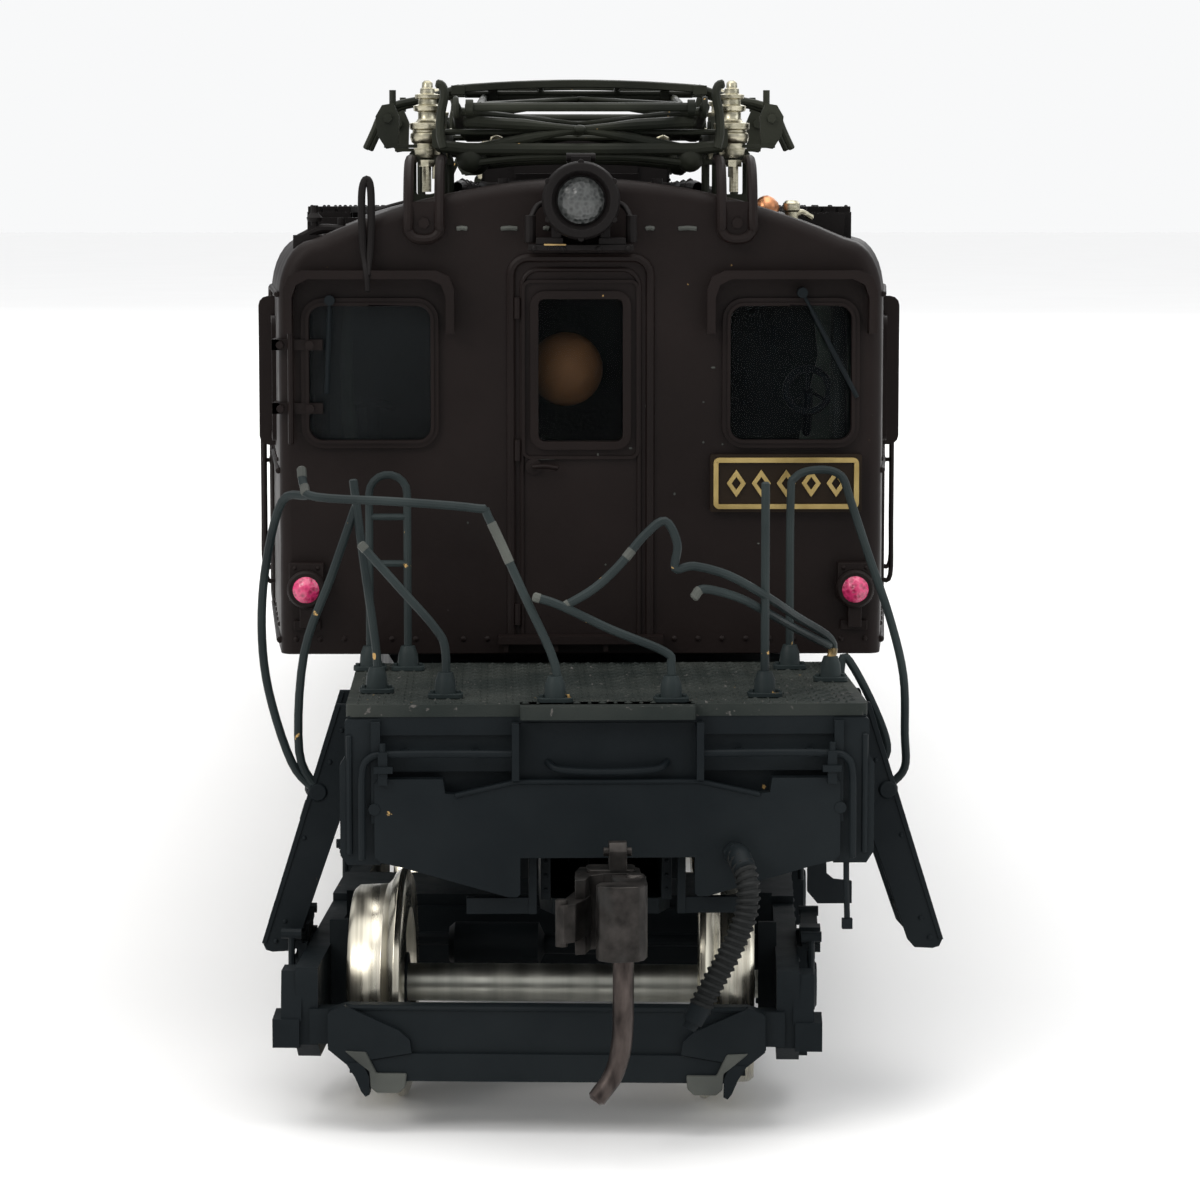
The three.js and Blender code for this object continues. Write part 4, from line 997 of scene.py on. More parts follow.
def roof_pipes():
    """Conduits along the roof with their saddles, and the cable from pantograph to pantograph."""
    form = Form()
    for x, r in ((6.9, 0.3), (7.9, 0.22), (-6.9, 0.3), (-7.9, 0.22)):
        z = roof_height(x) + r + 0.1
        bend = [(x, -74, z - 0.5), (x, -73, z), (x, 0, z), (x, 73, z), (x, 74, z - 0.5)]
        form.tube(bend, r, 10, 3)
        for k in range(12):
            y = -66 + 12 * k
            form.box(x - r - 0.35, x + r + 0.35, y - 0.3, y + 0.3, z - r - 0.3, z - r + 0.12)
            form.tube([(x - r - 0.1, y, z - r), (x, y, z + r + 0.06), (x + r + 0.1, y, z - r)], 0.12, 6, 4)
    return form


def roof_joints():
    """Standing seams over the roof, where its sheets meet."""
    form = Form()
    for y in (-78, -64.6, 64.6, 78):
        for side in (-1, 1):
            xs = [
                side * (5.8 + 0.95 * k) for k in range(11)
            ] if abs(y) < 70 else [side * 1.5 * k for k in range(11)]
            form.tube([(x, y, roof_height(x) + 0.03) for x in xs], 0.16, 6, 2)
    for sign in (-1, 1):  # square hatches with lifting eyes
        for y in (68.5, 72.5):
            form.box(-3.6, 3.6, sign * y - 1.5, sign * y + 1.5, 44.9, 45.75)
            form.tube(
                [
                    (-0.5, sign * y, 45.7), (-0.45, sign * y, 46.1), (0.45, sign * y, 46.1),
                    (0.5, sign * y, 45.7),
                ], 0.12, 6, 3,
            )
    return form


def nose_roof():
    """Grab rail, valve, whistle with its copper dome, and small pipes at one end of the roof."""
    dark, copper, pale = Form(), Form(), Form()
    y = NOSE + 0.9
    # grab rail that drops over the left shoulder
    loop = (
        (-11.0, -2.2, 39.5), (-11.05, -2.1, 40.3), (-11.25, -1.5, 41.6), (-11.32, -1.3, 43.6),
        (-11.27, -1.3, 44.8), (-11.05, -1.3, 45.25), (-10.85, -1.3, 44.8), (-10.82, -1.3, 43.2),
        (-10.88, -1.5, 41.6), (-10.95, -2.1, 40.3),
    )
    dark.tube(
        [(u, y + v, w) for u, v, w in loop], [0.15, 0.16, 0.2, 0.2, 0.2, 0.2, 0.2, 0.2, 0.2, 0.14], 10, 4,
    )
    dark.rod((-11.1, y - 1.3, 42.1), (-11.1, y - 0.2, 42.1), 0.25, sides=10)
    # small valve and pipe on the left
    z = roof_height(-13.6, NOSE_HALF_WIDTH) + 0.3
    dark.box(-15.0, -12.3, y + 0.6, y + 2.0, z - 0.9, z - 0.2)
    dark.tube([(-14.7, y + 1, z - 0.4), (-13.6, y + 1, z + 0.1), (-12.4, y + 1, z + 0.05)], 0.26, 10)
    dark.rod((-13.9, y + 1, z - 0.5), (-13.9, y + 1, z + 1.35), 0.2, sides=10)
    dark.turned(
        [(0, AXIS), (0, 0.36), (0.2, 0.42), (0.35, 0.3), (0.5, 0.16), (0.7, 0.1), (0.72, AXIS)],
        (-13.9, y + 1, z + 0.5), "z", 12,
    )
    dark.box(-14.25, -13.55, y + 0.8, y + 1.2, z + 0.05, z + 0.25)
    dark.rod((-12.5, y + 1.2, z - 0.5), (-12.5, y + 1.2, z + 0.7), 0.22, sides=10)
    # whistle on the right
    z = roof_height(10.6, NOSE_HALF_WIDTH) + 0.3
    copper.turned(
        [
            (-0.6, AXIS), (-0.55, 0.35), (-0.3, 0.62), (0, 0.7), (0.3, 0.62), (0.55, 0.36), (0.66, 0.12),
            (0.67, AXIS),
        ], (9.75, y + 1.2, z), "z", 20,
    )
    dark.rod((9.75, y + 1.2, z - 0.9), (9.75, y + 1.2, z - 0.4), 0.35, sides=12)
    pale.turned(
        [(-0.6, AXIS), (-0.6, 0.35), (-0.2, 0.35), (-0.1, 0.45), (0.25, 0.45), (0.4, 0.3), (0.42, AXIS)],
        (11.1, y + 1.6, z), "z", 14,
    )
    pale.tube([(11.1, y + 1.6, z - 0.5), (11.6, y + 1.8, z - 0.2), (12.2, y + 2, z - 0.5)], 0.16, 8)
    # the walkway's nosing
    for side in (-1, 1):
        top = 43.5 if side > 0 else 43.25
        dark.plate(
            "y", NOSE + 6.2, NOSE + 9.6,
            [(side * u, v) for u, v in ((11.5, 42.9), (14.1, 42.0), (14.2, top), (11.5, top))],
        )
        dark.plate(
            "y", NOSE + 7.0, NOSE + 7.4,
            [(side * u, v) for u, v in ((12.3, 43.0), (14.6, 41.9), (14.6, 43.55), (12.3, 43.55))],
        )
    # light conduits by the headlight
    for side in (-1, 1):
        dark.tube(
            [
                (side * 1.2, y + 0.4, 45.1), (side * 2.4, y + 0.6, 44.95), (side * 4.6, y + 1.2, 44.9),
                (side * 5.2, y + 6, 45.0),
            ], 0.2, 8,
        )
        dark.rod((side * 4.0, y + 0.4, 44.5), (side * 4.0, y + 0.4, 45.3), 0.3, sides=10)
    return dark, copper, pale


def wiper(form, pivot, tip, blade_half):
    """A windscreen wiper: pivot boss, arm, and a blade across the end."""
    y = NOSE - 0.55
    px, pz = pivot
    tx, tz = tip
    form.rod((px, NOSE, pz), (px, y - 0.2, pz), 0.28, sides=10)
    form.tube([(px, y, pz), (tx, y + 0.1, tz)], 0.09, 6, 2)
    along = Vector((tx - px, 0, tz - pz)).normalized() * blade_half
    form.tube([Vector((tx, y + 0.15, tz)) - along, Vector((tx, y + 0.15, tz)) + along], 0.13, 6, 2)


HEADLIGHT_Z = 44.15
TAIL_LAMP_X, TAIL_LAMP_Z = 14.3, 24.0


def headlight():
    """Drum, ring with its bolts, hinge lug and the saddle under it."""
    low, high = own_box("front_headlight")
    z, back = HEADLIGHT_Z, high.y
    case = Form()
    depth = back - low.y
    case.turned(
        [
            (0, AXIS), (0, 1.45), (-0.5, 1.72), (-1.4, 1.84), (-depth + 0.9, 1.86), (-depth + 0.8, 2.0),
            (-depth + 0.3, 2.0), (-depth + 0.05, 1.9), (-depth, 1.75), (-depth, 1.5), (-depth + 0.35, 1.42),
            (-depth + 0.8, 1.3), (-depth + 0.8, AXIS),
        ], (0, back, z), "y", 40,
    )
    for k in range(6):
        a = math.radians(30 + 60 * k)
        case.rod(
            (1.93 * math.cos(a), low.y + 0.1, z + 1.93 * math.sin(a)),
            (1.93 * math.cos(a), low.y + 1.1, z + 1.93 * math.sin(a)), 0.17, sides=8,
        )
    case.box(-0.5, 0.5, low.y + 1.0, back - 0.6, z + 1.75, z + 2.25)
    case.rod((-0.75, low.y + 1.3, z + 2.2), (0.75, low.y + 1.3, z + 2.2), 0.22, sides=10)
    for side in (-1, 1):
        case.box(side * 1.0, side * 1.5, back - 2.3, back + 0.6, 41.9, z - 0.9)
        case.box(side * 0.9, side * 2.3, back - 2.4, back - 0.2, 41.9, 42.25)
        case.rod((side * 2.6, back - 1.6, 42.0), (side * 2.6, back - 1.6, 43.4), 0.3, sides=10)
        case.tube(
            [
                (side * 2.6, back - 1.5, 43.2), (side * 2.2, back - 0.6, 43.9),
                (side * 1.4, back - 0.1, 44.1),
            ], 0.16, 8,
        )
    case.box(-2.7, 2.7, back - 2.5, back + 0.1, 41.6, 41.9)
    rivets(case, [(x, back - 2.5, 41.7) for x in (-2.4, -0.9, 0.9, 2.4)])
    return case


def lens_disc(r, bulge, origin, sides=32):
    """A domed disc that looks along -Y."""
    steps = 6
    dome = [(-bulge * (1 - (k / steps) ** 2), max(r * k / steps, AXIS)) for k in range(steps + 1)]
    return Form().turned([*dome, (0.25, r), (0.25, AXIS)], origin, "y", sides)


def tail_lamp(side):
    """The lamp's dark housing, bracket and hooded rim; the lens is a piece of its own."""
    x, z = side * TAIL_LAMP_X, TAIL_LAMP_Z
    form = Form()
    form.turned(
        [
            (0, AXIS), (0, 0.8), (-0.35, 1.0), (-0.8, 1.0), (-0.95, 0.88), (-0.95, 0.55), (-0.7, 0.5),
            (-0.7, AXIS),
        ], (x, NOSE - 0.25, z), "y", 24,
    )
    form.box(x - 0.9, x + 0.9, NOSE - 0.8, NOSE + 0.05, z - 0.6, z + 1.35)
    form.box(x - 0.35, x + 0.35, NOSE - 0.9, NOSE + 0.05, z - 2.0, z - 0.5)
    form.box(x - 0.7, x + 0.7, NOSE - 0.3, NOSE + 0.05, z - 2.2, z - 1.7)
    rivets(form, [(x - 0.6, NOSE - 0.8, z + 1.1), (x + 0.6, NOSE - 0.8, z + 1.1)], head=rivet(0.13, 0.09, 6))
    return form


def number_plate(name, end):
    """A blank works plate: gold border and a row of plain lozenges on a brown field."""
    low, high = own_box("front_number_plate")
    y0, y1 = low.y, high.y
    field = Form().plate("y", y0 + 0.15, y1 + 0.35, rounded(low.x, high.x, low.z, high.z, 0.12))
    make(
        name, field, PLATE_FIELD, "body", place("body", end), (f"{end}_number_plate",),
        bevel=0.04,
    )
    gold = Form()
    raised_frame(
        gold, "y", y0, y0 + 0.25, (low.x + 0.42, high.x - 0.42, low.z + 0.42, high.z - 0.42), 0.26, 0.05,
    )
    middle = (low.z + high.z) / 2
    for k in range(5):
        u = low.x + 1.35 + (high.x - low.x - 2.7) * k / 4
        gold.plate(
            "y", y0, y0 + 0.25,
            [(u - 0.5, middle), (u, middle - 0.72), (u + 0.5, middle), (u, middle + 0.72)],
            [[(u - 0.24, middle), (u, middle + 0.34), (u + 0.24, middle), (u, middle - 0.34)]],
        )
    make(f"{name}_relief", gold, GOLD_LINE, "body", place("body", end), bevel=0.03)


def cab_inside(end):
    """What shows through the end windows: bulkhead, desk, posts, side walls, hand wheel and a warm globe. The
    bulkhead, desks and side walls are darker copies of the posts' green, as painted shade inside the cab, and the
    warm globe is a painted reflection in the door pane.
    """
    at = place("body", end)
    room = Form()
    wall_y = NOSE + 10
    room.plate(
        "y", wall_y, wall_y + 0.4,
        [(-15.2, 22), (15.2, 22), (15.2, 40.6), (13, 41.6), (-13, 41.6), (-15.2, 40.6)],
    )
    room.box(-14.6, -5.2, NOSE + 4.2, NOSE + 8.5, 21.9, 30.2)
    room.box(5.4, 14.6, NOSE + 4.6, NOSE + 8.8, 21.9, 29.6)
    for side in (-1, 1):
        room.tube([(side * 13.6, NOSE + 2.2, 30.6), (side * 13.6, NOSE + 2.2, 39.6)], 0.45, 8, 2)
        room.box(side * 7.3, side * 7.9, NOSE + 1.8, NOSE + 2.2, 30.8, 39.6)
    room.box(-14.2, 14.2, NOSE + 1.9, NOSE + 2.4, 30.55, 31.3)
    make(f"{end}_cab_fittings", room, CAB_SHADE, "body", at, bevel=0.08)
    post = Form()
    post.tube(
        [(-12.0, NOSE + 1.6, 30.8), (-12.25, NOSE + 1.6, 34), (-12.2, NOSE + 1.6, 39.6)],
        [0.42, 0.34, 0.26], 8, 3,
    )
    make(f"{end}_cab_corner_post", post, CAB_GREEN, "body", at, bevel=0.05)
    walls = Form()
    walls.plate("y", NOSE + 2.6, NOSE + 2.9, rounded(-15.0, -13.3, 30.6, 39.8, 0.3, 2))
    walls.plate(
        "y", NOSE + 3.4, NOSE + 3.7,
        [(11.4, 30.4), (14.8, 30.4), (14.8, 39.8), (12.2, 39.8), (12.6, 36), (11.9, 33)],
    )
    make(f"{end}_cab_side_walls", walls, CAB_WALL_SHADED, "body", at, bevel=0.05)
    dark = Form()
    ring = [
        (12.0 + 1.15 * math.cos(a), NOSE + 2.4, 34.2 + 1.15 * math.sin(a))
        for a in (math.radians(20 * k) for k in range(18))
    ]
    dark.tube(ring, 0.2, 8, 2, True, smooth=False)
    for a in (90, 210, 330):
        c, s = math.cos(math.radians(a)), math.sin(math.radians(a))
        dark.rod((12.0, NOSE + 2.4, 34.2), (12.0 + 1.1 * c, NOSE + 2.4, 34.2 + 1.1 * s), 0.1, sides=6)
    dark.rod((12.0, NOSE + 2.3, 34.2), (12.0, NOSE + 4.6, 30.2), 0.3, sides=10)
    dark.rod((-11, NOSE + 5, 30), (-11, NOSE + 5, 33.2), 0.35, sides=10)
    dark.tube([(-12.2, NOSE + 4.9, 33.2), (-11, NOSE + 4.6, 33.5), (-9.9, NOSE + 4.9, 33.2)], 0.22, 8)
    make(f"{end}_cab_wheel", dark, FRAME_PAINT, "body", at, bevel=0)
    # the warm globe stands in for a reflection in the door pane: a painted reflection
    globe = Form().ball((-0.75, NOSE + 3.0, 35.3), 1.95, 1.0, 32, 16)
    make(f"{end}_cab_reflection_globe", globe, CAB_REFLECTION_GLOBE, "body", at, bevel=0)


# chips in the paint of the front end face, and one painted highlight along the door handle: x, height, half
# length, half height
NOSE_CHIPS_AND_HANDLE_HIGHLIGHT = (
    (6.9, 35.5, 0.12, 0.05), (3.4, 33.5, 0.05, 0.1), (6.4, 33.7, 0.06, 0.04), (6.4, 31.6, 0.06, 0.06),
    (7.4, 31.5, 0.05, 0.05), (4.9, 28.9, 0.06, 0.07), (0.9, 30.95, 0.05, 0.09), (2.6, 31.3, 0.09, 0.05),
    # (-1.9, 30.75) is no chip: it is a painted highlight along the door handle
    (-1.9, 30.75, 0.55, 0.06), (1.3, 25.2, 0.05, 0.05), (-5.9, 27.4, 0.05, 0.05), (9.3, 26.3, 0.06, 0.04),
)
# pale dashes on the seam where roof and face meet, x and length: rubbed paint and painted highlights
ROOF_SEAM_WEAR_AND_HIGHLIGHTS = ((-6.4, 0.5), (-4.1, 0.8), (-1.9, 0.25), (5.1, 0.9), (7.9, 1.1), (3.4, 0.4))


def nose_marks():
    """Small pale places: chips in the end face, one painted highlight along the door handle, and lengths of the
    seam where roof and face meet, rubbed and with painted highlights.
    """
    form = Form()
    for x, z, a, b in NOSE_CHIPS_AND_HANDLE_HIGHLIGHT:
        form.plate(
            "y", NOSE - 0.03, NOSE + 0.05,
            [
                (x - a, z), (x - a * 0.3, z - b), (x + a, z - b * 0.5), (x + a * 0.7, z + b),
                (x - a * 0.5, z + b),
            ],
        )
    for x, length in ROOF_SEAM_WEAR_AND_HIGHLIGHTS:
        bead(form, [(x, NOSE, 42.7), (x + length * 0.5, NOSE - 0.01, 42.74), (x + length, NOSE, 42.7)], 0.12)
    return form


def nose_fittings(end):
    """Lamps, plate, wipers, panes and the cab's inside at one end."""
    at = place("body", end)
    # chips and rubbed seam in pale paint, with painted highlights along the door handle and the roof seam
    make(f"{end}_paint_chips_and_highlights", nose_marks(), WEAR_AND_HIGHLIGHT_PAINT, "body", at, bevel=0)
    strip = Form().box(-1.9, -0.75, NOSE - 2.8, NOSE - 2.6, 41.6, 41.95)
    make(f"{end}_bracket_bare_edge", strip, BARE_BRASS, "body", at, bevel=0.04)
    make(
        f"{end}_headlight_case", headlight(), ROOF_PAINT, "body", at, (f"{end}_headlight",),
        bevel=0.05,
    )
    low, _ = own_box("front_headlight_lens")
    lens = lens_disc(1.19, 0.3, (0, low.y + 0.05, HEADLIGHT_Z))
    make(
        f"{end}_headlight_glass", lens, LAMP_GLASS, "body", at, (f"{end}_headlight_lens",),
        bevel=0,
    )
    for side, word in ((-1, "left"), (1, "right")):
        make(
            f"{end}_tail_lamp_case_{word}", tail_lamp(side), BODY_PAINT, "body", at,
            bevel=0.05,
        )
        glass = lens_disc(0.74, 0.42, (side * TAIL_LAMP_X, NOSE - 1.15, TAIL_LAMP_Z), 24)
        make(
            f"{end}_tail_lamp_glass_{word}", glass, RED_LENS, "body", at,
            (f"{end}_tail_lamp_{word}",), bevel=0,
        )
    number_plate(f"{end}_works_plate", end)
    dark, copper, pale = nose_roof()
    wipers = Form()
    wiper(wipers, (-13.0, 39.0), (-13.1, 36.4), 2.2)
    wiper(wipers, (11.5, 39.4), (13.2, 36.2), 2.5)
    make(f"{end}_wipers", wipers, FRAME_PAINT, "body", at, bevel=0)
    make(f"{end}_nose_roof_fittings", dark, ROOF_PAINT, "body", at, bevel=0.04)
    make(f"{end}_whistle_dome", copper, COPPER, "body", at, bevel=0)
    make(f"{end}_whistle_valve", pale, INSULATOR, "body", at, bevel=0)
    cab_inside(end)
    panes = (("left", -14.4, -7.5, HAZED), ("right", 7.5, 14.4, CELLULOID), ("door", -2.5, 2.5, CLEAR_PANE))
    for word, u0, u1, look in panes:
        pane = Form().plate("y", NOSE + 0.45, NOSE + 0.62, rounded(u0, u1, 31.4, 39.2, 0.5))
        replaced = (f"{end}_cab_glazing",) if word == "left" else ()
        make(f"{end}_{word}_pane", pane, look, "body", at, replaced, bevel=0)


def roof_and_glass():
    """Everything on the roof but the pantographs, and the side windows' panes."""
    at = place("body")
    make("roof_monitor", ventilator(), ROOF_PAINT, "body", at, ("roof_ventilator",), bevel=0.05)
    for side, word in ((-1, "left"), (1, "right")):
        make(
            f"roof_planks_{word}", walkway(side), ROOF_PAINT, "body", at,
            (f"roof_walkway_{word}",), bevel=0.04,
        )
        pane = Form()
        low, high = own_box(f"glazing_{word}")
        for y in SIDE_WINDOWS:
            pane.plate("x", low.x, high.x, rounded(y - 3.6, y + 3.6, 31.2, 38.1, 0.4))
        make(f"side_panes_{word}", pane, CELLULOID, "body", at, (f"glazing_{word}",), bevel=0.02)
    make("roof_conduits", roof_pipes(), ROOF_PAINT, "body", at, bevel=0)
    make("roof_seams", roof_joints(), ROOF_PAINT, "body", at, bevel=0.04)
    for end in ("front", "rear"):
        nose_fittings(end)


roof_and_glass()


# ---------------------------------------------------------------------------------------------
# Pantographs, folded down
# ---------------------------------------------------------------------------------------------
PAN_Y = -86.5
PAN_PIVOT = joint_mm("front_pantograph_raise")
PAN_KNEE = joint_mm("front_pantograph_upper_outer_turn")
PAN_HEAD = joint_mm("front_pantograph_head_turn")
LOWER_X, UPPER_X = 6.45, 5.2
STRIP_Y = 2.3
HEAD_Z = PAN_HEAD.z + 0.55


def mirror_y(point, end):
    """A point of the outer half, or its twin in the inner half."""
    x, y, z = point
    return Vector((x, y if end < 0 else 2 * PAN_Y - y, z))


INSULATOR_PROFILE = (
    (46.35, AXIS), (46.35, 0.62), (46.42, 0.72), (47.18, 0.75), (47.24, 0.86), (47.5, 0.93), (47.7, 0.9),
    (47.76, 0.8), (47.88, 0.8), (47.94, 0.95), (48.24, 0.97), (48.32, 0.62), (48.5, 0.5), (48.84, 0.5),
    (48.9, 0.73), (49.16, 0.77), (49.24, 0.5), (49.5, 0.48), (49.56, 0.66), (49.76, 0.67), (49.82, 0.4),
    (50.08, 0.38), (50.12, 0.3), (50.38, 0.28), (50.5, 0.16), (50.5, AXIS),
)


def insulator(form, x, y):
    """A turned post: tapered foot, two broad sheds close together, a neck, two thin sheds and a nut."""
    form.turned(INSULATOR_PROFILE, (x, y, 0), "z", 28)


def stand(form, x, y):
    """A rounded loop of tube that carries an insulator, feet on the roof, with a cross screw."""
    bottom = roof_height(x) - 0.35
    loop = rounded(x - 0.82, x + 0.82, bottom + 0.1, 46.75, 0.4, 3)
    form.tube([(u, y, v) for u, v in loop], 0.24, 8, 1, True, smooth=False)
    form.box(x - 1.15, x + 1.15, y - 0.55, y + 0.55, bottom, bottom + 0.4)
    form.box(x - 0.95, x + 0.95, y - 0.6, y + 0.6, 46.2, 46.5)


def spring(form, a, b, r, wire_r, turns):
    """A coil spring between two points with straight hooks at its ends."""
    a, b = Vector(a), Vector(b)
    axis = (b - a).normalized()
    u = axis.orthogonal().normalized()
    v = axis.cross(u)
    steps = turns * 8
    path = [a - axis * 0.8]
    for k in range(steps + 1):
        t = 2 * math.pi * k / 8
        path.append(a + (b - a) * k / steps + (u * math.cos(t) + v * math.sin(t)) * r)
    path.append(b + axis * 0.8)
    form.tube(path, wire_r, 5, smooth=False)


def pan_base(end):
    """The base frame on its insulators, with clamps, catches, stays, springs and air cylinder."""
    at = place("body", end)
    frame_form, posts, screws = Form(), Form(), Form()
    for side in (-1, 1):
        x = side * 7.45
        frame_form.rings(
            [
                [Vector((x + u, y, 47.4 + v)) for u, v in rounded(-0.32, 0.32, -0.5, 0.5, 0.12, 2)]
                for y in (PAN_Y - 10, PAN_Y + 10)
            ]
        )
        for sign in (-1, 1):
            y = PAN_Y + sign * 7
            insulator(posts, side * 8.1, y)
            stand(frame_form, side * 8.1, y)
            frame_form.box(side * 7.0, side * 10.4, y - 0.5, y + 0.5, 46.95, 47.12)
            # cable clamp: a dark block with an upright bolt
            clamp = [
                (9.65, 47.0), (10.3, 46.9), (10.75, 47.6), (10.85, 48.6), (10.5, 49.2), (9.9, 49.3),
                (9.6, 48.6),
            ]
            frame_form.plate("y", y - 0.45, y + 0.45, on_side(clamp, side))
            frame_form.rod((side * 9.95, y, 49.2), (side * 9.95, y, 50.0), 0.18, sides=8)
            frame_form.rod((side * 10.2, y - 0.7, 48.5), (side * 10.2, y + 0.7, 48.5), 0.26, sides=6)
            frame_form.ball((side * 5.8, PAN_Y + sign * 9.3, 46.35), 0.72, 1.0, 16, 10)
            # hook that holds the folded frame down
            catch = [(7.05, 46.9), (7.2, 47.6), (7.15, 48.7), (6.98, 49.6), (7.1, 50.1), (7.35, 50.2)]
            frame_form.tube([(side * (u + 0.1), PAN_Y + sign * 11.2, v) for u, v in catch], 0.24, 8, 3)
            screws.rod((side * 8.1, y - 0.3, 45.4), (side * 8.1, y - 0.3, 46.2), 0.2, sides=10)
            pivot_y = PAN_Y + sign * 1.5
            frame_form.side_plate(
                side, 7.2, 7.7,
                [
                    (pivot_y - 0.8, 47.6), (pivot_y + 0.8, 47.6), (pivot_y + 0.45, 48.75),
                    (pivot_y - 0.45, 48.75),
                ],
            )
            frame_form.rod(
                (side * 7.15, pivot_y, PAN_PIVOT.z), (side * 7.95, pivot_y, PAN_PIVOT.z), 0.34, sides=12,
            )
            spring(
                screws, (side * 4.4, PAN_Y + sign * 2.6, 47.2), (side * 4.4, PAN_Y + sign * 8.6, 47.2),
                0.33, 0.1, 12,
            )
    for y in (PAN_Y - 9.6, PAN_Y + 9.6):
        frame_form.tube([(-7.5, y, 47.2), (-6.0, y, 46.85), (6.0, y, 46.85), (7.5, y, 47.2)], 0.34, 10, 2)
        frame_form.tube([(-5.8, y, 46.1), (-2.5, y, 46.4), (2.5, y, 46.4), (5.8, y, 46.1)], 0.2, 8, 4)
        frame_form.tube(
            [
                (-7.5, y + math.copysign(0.6, PAN_Y - y), 47.75),
                (7.5, y + math.copysign(0.6, PAN_Y - y), 47.75),
            ], 0.16, 8, 2,
        )
    frame_form.tube([(-7.4, PAN_Y - 8.8, 46.95), (0, PAN_Y, 46.95), (7.4, PAN_Y + 8.8, 46.95)], 0.18, 8, 2)
    frame_form.tube([(7.4, PAN_Y - 8.8, 46.95), (0, PAN_Y, 46.95), (-7.4, PAN_Y + 8.8, 46.95)], 0.18, 8, 2)
    for sign in (-1, 1):
        y = PAN_Y + sign * 9.3
        # crossed stays at both ends of the base
        stays = [(-6.0, 48.3), (0.0, 47.87), (5.6, 46.8)], [(-5.6, 46.8), (0.0, 47.87), (6.0, 48.3)]
        for stay in stays:
            frame_form.tube([(x, y, z) for x, z in stay], [0.32, 0.2, 0.32], 10, 4)
        frame_form.ball((0, y - 0.1, 47.87), 0.36, 0.7, 12, 8)
    # air cylinder that raises the frame
    frame_form.turned(
        [
            (-2.6, AXIS), (-2.6, 0.45), (-2.4, 0.7), (2.2, 0.7), (2.4, 0.55), (2.4, 0.2), (3.6, 0.2),
            (3.6, AXIS),
        ], (0, PAN_Y + 4.4, 46.6), "y", 20,
    )
    stirrups = Form()
    for side in (-1, 1):
        y = PAN_Y - 7
        legs = [
            [
                (side * u, y, 46.3), (side * u, -97.6, 46.2), (side * u, -99.4, 45.2),
                (side * u, -100.2, 43.1), (side * u, -100.15, 42.6),
            ]
            for u in (7.3, 8.9)
        ]
        foot = [(side * 7.7, -100.15, 42.2), (side * 8.5, -100.15, 42.2)]
        stirrups.tube(legs[0] + foot + legs[1][::-1], 0.27, 10, 4)
        stirrups.plate("y", -100.1, -99.9, rounded(*sorted((side * 7.4, side * 8.8)), 42.3, 44.1, 0.2, 2))
        stirrups.rod((side * 8.1, -100.3, 43.0), (side * 8.1, -100.0, 43.0), 0.3, sides=6)
        screws.rod((side * 8.0, -98.2, 44.6), (side * 8.0, -98.2, 46.0), 0.24, sides=10)
        screws.rod((side * 8.0, -98.2, 45.9), (side * 8.0, -98.2, 46.25), 0.42, sides=6)
    make(f"{end}_insulator_stirrups", stirrups, BODY_PAINT, "body", at, bevel=0)
    make(
        f"{end}_pantograph_frame", frame_form, PAN_PAINT, "body", at,
        (f"{end}_pantograph_base",), bevel=0.05,
    )
    make(
        f"{end}_pantograph_insulators", posts, INSULATOR, "body", at, bevel=0.02,
        angle=50,
    )
    make(f"{end}_pantograph_springs", screws, INSULATOR, "body", at, bevel=0)


